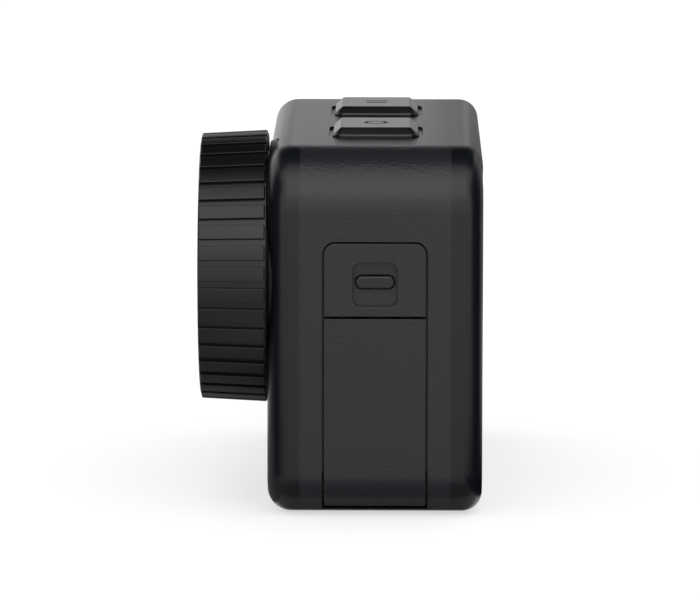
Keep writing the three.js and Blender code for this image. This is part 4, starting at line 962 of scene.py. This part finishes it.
def make_latch_panel():
    """Upper panel of the door, with the finger dish and the slot that the latch bar slides in."""
    low, high = PANEL_LOW, PANEL_HIGH
    bar_low, bar_high = node_box("latch_bar")
    panel = block("door_latch_panel", high.x - SKIN, high.x, low.y, high.y, low.z, high.z)
    round_edges(panel, upper_corners(high.z), FLAP_CORNER, steps=8)
    dish_z = high.z - DISH_DROP
    back_half = DISH_HALF + DISH_WALL
    back = (*about(MID_Y, back_half), *about(dish_z, back_half))
    add(
        panel,
        rounded_block("dish_back", "X", DISH_CORNER, low.x - 0.05, high.x - SKIN + 0.3, *back),
    )
    dish = rounded_block(
        "dish", "X", DISH_CORNER, high.x - 2, high.x + 1,
        *about(MID_Y, DISH_HALF), *about(dish_z, DISH_HALF), steps=10,
    )
    axis = (high.x - DISH_DEPTH + DISH_CURVE, dish_z)
    scoop = rod("scoop", "Y", DISH_CURVE, *about(MID_Y, 6), axis, sides=1024)
    combine(dish, scoop, "INTERSECT")
    moat = rounded_block(
        "moat", "X", 1.05, high.x - 1.55, high.x,
        bar_low.y - BAR_GAP, bar_high.y + BAR_GAP, bar_low.z - BAR_GAP, bar_high.z + BAR_GAP,
        steps=10,
    )
    stem_way = block(
        "stem_way", high.x - SKIN - 1, high.x - 0.3,
        *about(MID_Y, 1.9), bar_high.z - 1.55, bar_high.z - 0.05,
    )
    cut(panel, dish, moat, stem_way)
    at_face = in_plane("X", high.x)

    def rim(edge, a, b):
        return sharp(edge, 40) and at_face(edge, a, b)

    round_edges(panel, rim, DOOR_RIM, steps=3, clamp=True)
    smooth(panel, 30)
    finish(panel, "grained", "battery_door_set", "textured_plastic", "latch_panel")


def make_latch_bar():
    """A soft-edged pill on its stem."""
    low, high = node_box("latch_bar")
    bar = rounded_block(
        "latch_key", "X", 0.88, high.x - 0.6, high.x, low.y, high.y, low.z, high.z, steps=10
    )
    round_edges(bar, in_plane("X", high.x), 0.32, steps=6)
    stem = block("stem", low.x, high.x - 0.4, *about(MID_Y, 1.8), high.z - 0.75, high.z - 0.15)
    add(bar, stem)
    smooth(bar)
    finish(bar, "button", "latch_set", "satin_plastic", "latch_bar")


def make_door_seal():
    """Rubber lip round the door frame, with a soft ridge and a gap for the latch."""
    low, high = node_box("door_seal")
    width = 0.7
    seal = rounded_block("door_gasket", "X", 1.6, *limits(low, high))
    hole = (low.y + width, high.y - width, low.z + width, high.z - width)
    cut(
        seal,
        rounded_block("gasket_hole", "X", 1.2, low.x - 1, high.x + 1, *hole),
        block("gasket_gap", low.x - 1, high.x + 1, *about(MID_Y, 3.35), high.z - 5, high.z + 1),
    )
    round_edges(seal, lambda e, a, b: sharp(e) and near(a.x, b.x), 0.2, steps=3, clamp=True)
    smooth(seal)
    finish(seal, "rubber", "battery_door_set", "rubber", "door_seal")


def make_battery():
    low, high = node_box("battery")
    pack = rounded_block("battery_pack", "X", 1.2, *limits(low, high))
    round_edges(pack, in_plane("X", high.x), 0.5, steps=4)
    # Groove for the fingernail that pulls the battery out
    groove = (high.x - 0.8, high.x + 1, *about(MID_Y, 3.2), 12, 15.5)
    cut(pack, rounded_block("pull_groove", "X", 0.9, *groove))
    smooth(pack)
    finish(pack, "wrap", "camera_body", "battery_wrap", "battery")


# ---------- Port flap ----------


def make_flap():
    low, high = FLAP_LOW, FLAP_HIGH
    flap = block("port_flap", low.x, low.x + SKIN, low.y, high.y, FLAP_HINGE[1], high.z)
    round_edges(flap, upper_corners(high.z), FLAP_CORNER, steps=8)
    add(flap, rod("flap_knuckle", "Y", KNUCKLE, low.y, high.y, FLAP_HINGE, sides=48))
    cut(
        flap,
        rod("flap_pin_way", "Y", PIN, low.y - 1, high.y + 1, FLAP_HINGE, sides=24),
        rod("nail_nick", "Y", 0.7, *about(MID_Y, 3), (low.x, high.z), sides=48),
    )
    at_face = in_plane("X", low.x)

    def rim(edge, a, b):
        return sharp(edge, 40) and at_face(edge, a, b)

    round_edges(flap, rim, FLAP_RIM, steps=3, clamp=True)
    smooth(flap)
    finish(flap, "grained", "port_cover_set", "textured_plastic", "port_cover")


# ---------- Buttons ----------

# A button's cap and the flange that keeps it in: half sizes along X and Y, and corner
CAP_X, CAP_Y, CAP_CORNER = 7, 6, 1.6
FLANGE_X, FLANGE_Y, FLANGE_CORNER, FLANGE_HEIGHT = 7.8, 6.8, 3, 0.6
# Width of the slope round its top, how much the slope's foot is raised, and the crown's rounding
SLOPE, FOOT_LIFT, CROWN = 1.14, 0.17, 0.18
# Depth of the engraved sign, and the faces of the ink in it
ENGRAVED = 0.14
INK_FOOT, INK_FACE = 0.13, 0.11


def make_mark(name, kind, x, z0, z1):
    """A generic sign: a ring for record, two bars for mode."""
    if kind == "ring":
        sign = rod(name, "Z", 1.7, z0, z1, (x, MID_Y), 48)
        cut(sign, rod("mark_core", "Z", 1.2, z0 - 1, z1 + 1, (x, MID_Y), 48))
        return sign
    left = block(name, x - 1.3, x - 0.6, *about(MID_Y, 1.5), z0, z1)
    right = block("mark_bar", x + 0.6, x + 1.3, *about(MID_Y, 1.5), z0, z1)
    return join(left, right)


def make_button(node, name, mark):
    low, high = node_box(node)
    x = (low.x + high.x) / 2
    sides = (*about(x, CAP_X), *about(MID_Y, CAP_Y))
    cap = rounded_block(name, "Z", CAP_CORNER, *sides, low.z, high.z, steps=10)
    round_edges(cap, in_plane("Z", high.z), SLOPE, steps=1)
    pick_edges(cap, in_plane("Z", high.z - SLOPE))
    bpy.ops.transform.translate(value=(0, 0, FOOT_LIFT * MM))
    bpy.ops.object.mode_set(mode="OBJECT")

    def crown(edge, a, b):
        return sharp(edge, 30) and min(a.z, b.z) > high.z - 1.3 and near(a.z, b.z)

    round_edges(cap, crown, CROWN, steps=3)
    rim = (*about(x, FLANGE_X), *about(MID_Y, FLANGE_Y), low.z, low.z + FLANGE_HEIGHT)
    add(cap, rounded_block("flange", "Z", FLANGE_CORNER, *rim))
    # The sign is engraved and filled with ink
    cut(cap, make_mark("groove", mark, x, high.z - ENGRAVED, high.z + 0.5))
    smooth(cap)
    body = node + "_set"
    finish(cap, "button", body, "satin_plastic", node)
    ink = make_mark(name + "_mark", mark, x, high.z - INK_FOOT, high.z - INK_FACE)
    finish(ink, "mark", body, "satin_plastic")


# ---------- Windows ----------


def make_window(node, name, corner, faces_rear, edge):
    """A pane of black-backed glass with a soft outer edge."""
    low, high = node_box(node)
    pane = rounded_block(name, "Y", corner, *limits(low, high), steps=12)
    round_edges(pane, in_plane("Y", high.y if faces_rear else low.y), edge, steps=3)
    smooth(pane)
    finish(pane, "screen", "camera_body", "screen_glass", node)


# ---------- Tripod insert ----------

THREAD_PITCH = 1.27  # of a quarter-inch tripod screw


def make_insert():
    """Steel insert: turns of a quarter-inch thread inside a plain sleeve."""
    low, high = node_box("tripod_insert")
    place = (0, MID_Y)
    sleeve = rod("tripod_socket", "Z", 5, low.z, high.z, place)
    cut(sleeve, rod("bore", "Z", 2.9, -1, high.z - 0.5, place))
    cut(sleeve, rod("lead_in", "Z", 3.6, low.z - 0.1, low.z + 0.6, place, end_radius=2.9))
    for i in range(3):
        z = low.z + 1.1 + i * THREAD_PITCH
        turn = rod("thread", "Z", 3.0, z, z + 0.5, place)
        cut(turn, rod("thread_core", "Z", 2.6, z - 1, z + 2, place))
        sleeve = join(sleeve, turn)
    smooth(sleeve, 30)
    finish(sleeve, "steel", "camera_body", "steel", "tripod_insert")


make_housing()
make_lens_ring()
make_mount()
make_cover_glass()
make_hood()
make_front_lens_and_barrel()
make_door()
make_latch_panel()
make_latch_bar()
make_door_seal()
make_battery()
make_flap()
make_button("shutter_button", "shutter_cap", "ring")
make_button("mode_button", "mode_cap", "bars")
make_window("front_glass", "front_window", corner=3, faces_rear=False, edge=0.25)
make_window("rear_glass", "rear_window", corner=2.5, faces_rear=True, edge=0.3)
make_insert()

CAD_LOOKS = {
    "oxide": ["door_hinge_pin", "port_cover_pin", "latch_slide", "latch_spring"],
    "steel": [
        "charging_socket", "card_cage", "shutter_switch", "mode_switch", "front_microphone",
        "mount_screw_1", "mount_screw_2", "mount_screw_3", "mount_screw_4",
    ],
    "liner": ["door_frame", "battery_bay", "rear_frame"],
    "rubber": ["port_cover_plug", "button_membrane", "mount_seal", "glass_seal"],
    "brass": ["battery_contacts"],
    "aluminium": ["heat_spreader"],
    "anodised": ["glass_retainer"],
    "board": ["main_board", "port_board", "button_board", "sensor_board"],
    "chip": ["memory_card", "speaker", "image_sensor"],
    "panel": ["front_screen", "rear_screen"],
    "cover_glass": ["second_element", "third_element", "rear_element"],
    "light": ["status_light"],
}
for look, names in CAD_LOOKS.items():
    for name in names:
        dress(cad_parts[name], look)


# ---------- Floor, light and camera ----------


def pale(tree):
    """1 for rays that show the white background: from the camera, off gloss and through glass."""
    path = put(tree, "ShaderNodeLightPath").outputs
    seen = calculate(tree, "MAXIMUM", path["Is Camera Ray"], path["Is Transmission Ray"])
    return calculate(tree, "MAXIMUM", seen, path["Is Glossy Ray"])


def make_floor():
    deselect()
    bpy.ops.mesh.primitive_plane_add(size=6, location=(0, 0, -0.1 * MM))
    floor = settle("floor")
    made = bpy.data.materials.new("pale_floor")
    tree = empty_tree(made)
    matt = put(tree, "ShaderNodeBsdfDiffuse", {"Color": grey(0.5)})
    lift = calculate(tree, "MULTIPLY", pale(tree), 0.6)
    glow = put(tree, "ShaderNodeEmission", {"Color": grey(1), "Strength": lift})
    both = {0: matt.outputs["BSDF"], 1: glow.outputs["Emission"]}
    total = put(tree, "ShaderNodeAddShader", both)
    put(tree, "ShaderNodeOutputMaterial", {"Surface": total.outputs["Shader"]})
    floor.data.materials.append(made)


def make_world():
    """A white background over soft, even light."""
    world = bpy.data.worlds.new("studio")
    bpy.context.scene.world = world
    tree = empty_tree(world)
    soft = put(tree, "ShaderNodeBackground", {"Color": grey(1), "Strength": 0.9})
    white = put(tree, "ShaderNodeBackground", {"Color": grey(1), "Strength": 1.0})
    mixed = put(
        tree,
        "ShaderNodeMixShader",
        {0: pale(tree), 1: soft.outputs["Background"], 2: white.outputs["Background"]},
    )
    put(tree, "ShaderNodeOutputWorld", {"Surface": mixed.outputs["Shader"]})


# A faded card changes from its left tone to its own tone along this span of X
FADE = (-60 * MM, 10 * MM)

# Name, tone, both ends along X, Y and Z, and a left tone where the card fades
CARDS = [
    ("card_front", 0.01, (-10, 120, -122, -120, 0, 160)),
    ("card_rear", 0.01, (-110, 130, 130, 132, 0, 160), 0.7),
    ("card_top", 0.01, (-1000, 50, -320, 330, 380, 382)),
    ("card_low", 0.63, (31, 500, -10, 200, -0.08, -0.04)),
    ("card_low_front", 0.5, (40, 500, -200, -10, -0.08, -0.04)),
    # card_foot's low tone is a painted contact shadow: a darker strip on the floor beside the foot,
    # seen only in reflections. The card is also lit and shaded for real.
    ("card_foot", 0.25, (35, 45, -10, 22, -0.03, -0.01)),
    ("card_foot_front", 0.35, (-30, 40, -120, -10, -0.08, -0.04)),
    ("card_foot_rear", 0.01, (-110, 70, 22, 130, -0.03, -0.01), 0.7),
    ("card_foot_side", 0.01, (34, 80, -120, -28, -0.03, -0.01)),
    ("card_back", 0.9, (-122, -120, -14, 14, 1, 125)),
    ("card_back_dim", 0.58, (-122, -120, 14, 24, 1, 125)),
    ("card_back_far", 0.85, (-122, -120, 24, 33, 1, 125)),
    ("card_back_end", 0.35, (-122, -120, 33, 130, 1, 125)),
    ("card_back_ring", 0.6, (-122, -120, -60, -14, 66, 125)),
]


def make_card(name, tone, ends, left_tone=None):
    """A matt studio card that only reflections show."""
    card = block(name, *ends)
    made = bpy.data.materials.new(name)
    tree = empty_tree(made)
    matt = put(tree, "ShaderNodeBsdfDiffuse", {"Color": grey(tone)})
    if left_tone:
        place = put(tree, "ShaderNodeTexCoord").outputs["Object"]
        parts = put(tree, "ShaderNodeSeparateXYZ", {"Vector": place}).outputs
        feed(tree, matt, {"Color": remap(tree, parts["X"], *FADE, low=left_tone, high=tone)})
    put(tree, "ShaderNodeOutputMaterial", {"Surface": matt.outputs["BSDF"]})
    card.data.materials.append(made)
    card.visible_camera = False
    card.visible_diffuse = False
    card.visible_shadow = False


# Lamp and camera, in metres and watts
LAMP_PLACE = Vector((0.72, 0.0, 0.72))
LAMP_TARGET = Vector((0, 0, 0.03))
LAMP_SIZE = 0.8
LAMP_POWER = 1.3
CAMERA_PLACE = Vector((780.8, 7.85, 144.9)) * MM
CAMERA_TILT, CAMERA_PAN, CAMERA_ROLL = 0.1523, 0.0087, 0.0013
FOCAL_LENGTH = 281.97


def make_lamp():
    lamp = bpy.data.lights.new("front", "AREA")
    lamp.shape = "RECTANGLE"
    lamp.size = LAMP_SIZE
    lamp.size_y = LAMP_SIZE
    lamp.energy = LAMP_POWER
    holder = bpy.data.objects.new("front", lamp)
    bpy.context.scene.collection.objects.link(holder)
    holder.location = LAMP_PLACE
    aim = LAMP_TARGET - LAMP_PLACE
    holder.rotation_euler = aim.to_track_quat("-Z", "Y").to_euler()


def make_camera():
    lens = bpy.data.cameras.new("camera")
    lens.sensor_fit = "HORIZONTAL"
    lens.sensor_width = 36
    lens.lens = FOCAL_LENGTH
    lens.clip_start = 0.01
    lens.clip_end = 20
    view = bpy.data.objects.new("camera", lens)
    bpy.context.scene.collection.objects.link(view)
    level = math.cos(CAMERA_TILT)
    aim = Vector(
        (-level * math.cos(CAMERA_PAN), -level * math.sin(CAMERA_PAN), -math.sin(CAMERA_TILT))
    )
    turn = aim.to_track_quat("-Z", "Y").to_matrix().to_4x4()
    roll = Matrix.Rotation(CAMERA_ROLL, 4, "Z")
    view.matrix_world = Matrix.Translation(CAMERA_PLACE) @ turn @ roll
    bpy.context.scene.camera = view


make_floor()
make_world()
for card in CARDS:
    make_card(*card)
make_lamp()
make_camera()
bpy.context.scene.view_settings.view_transform = "Standard"
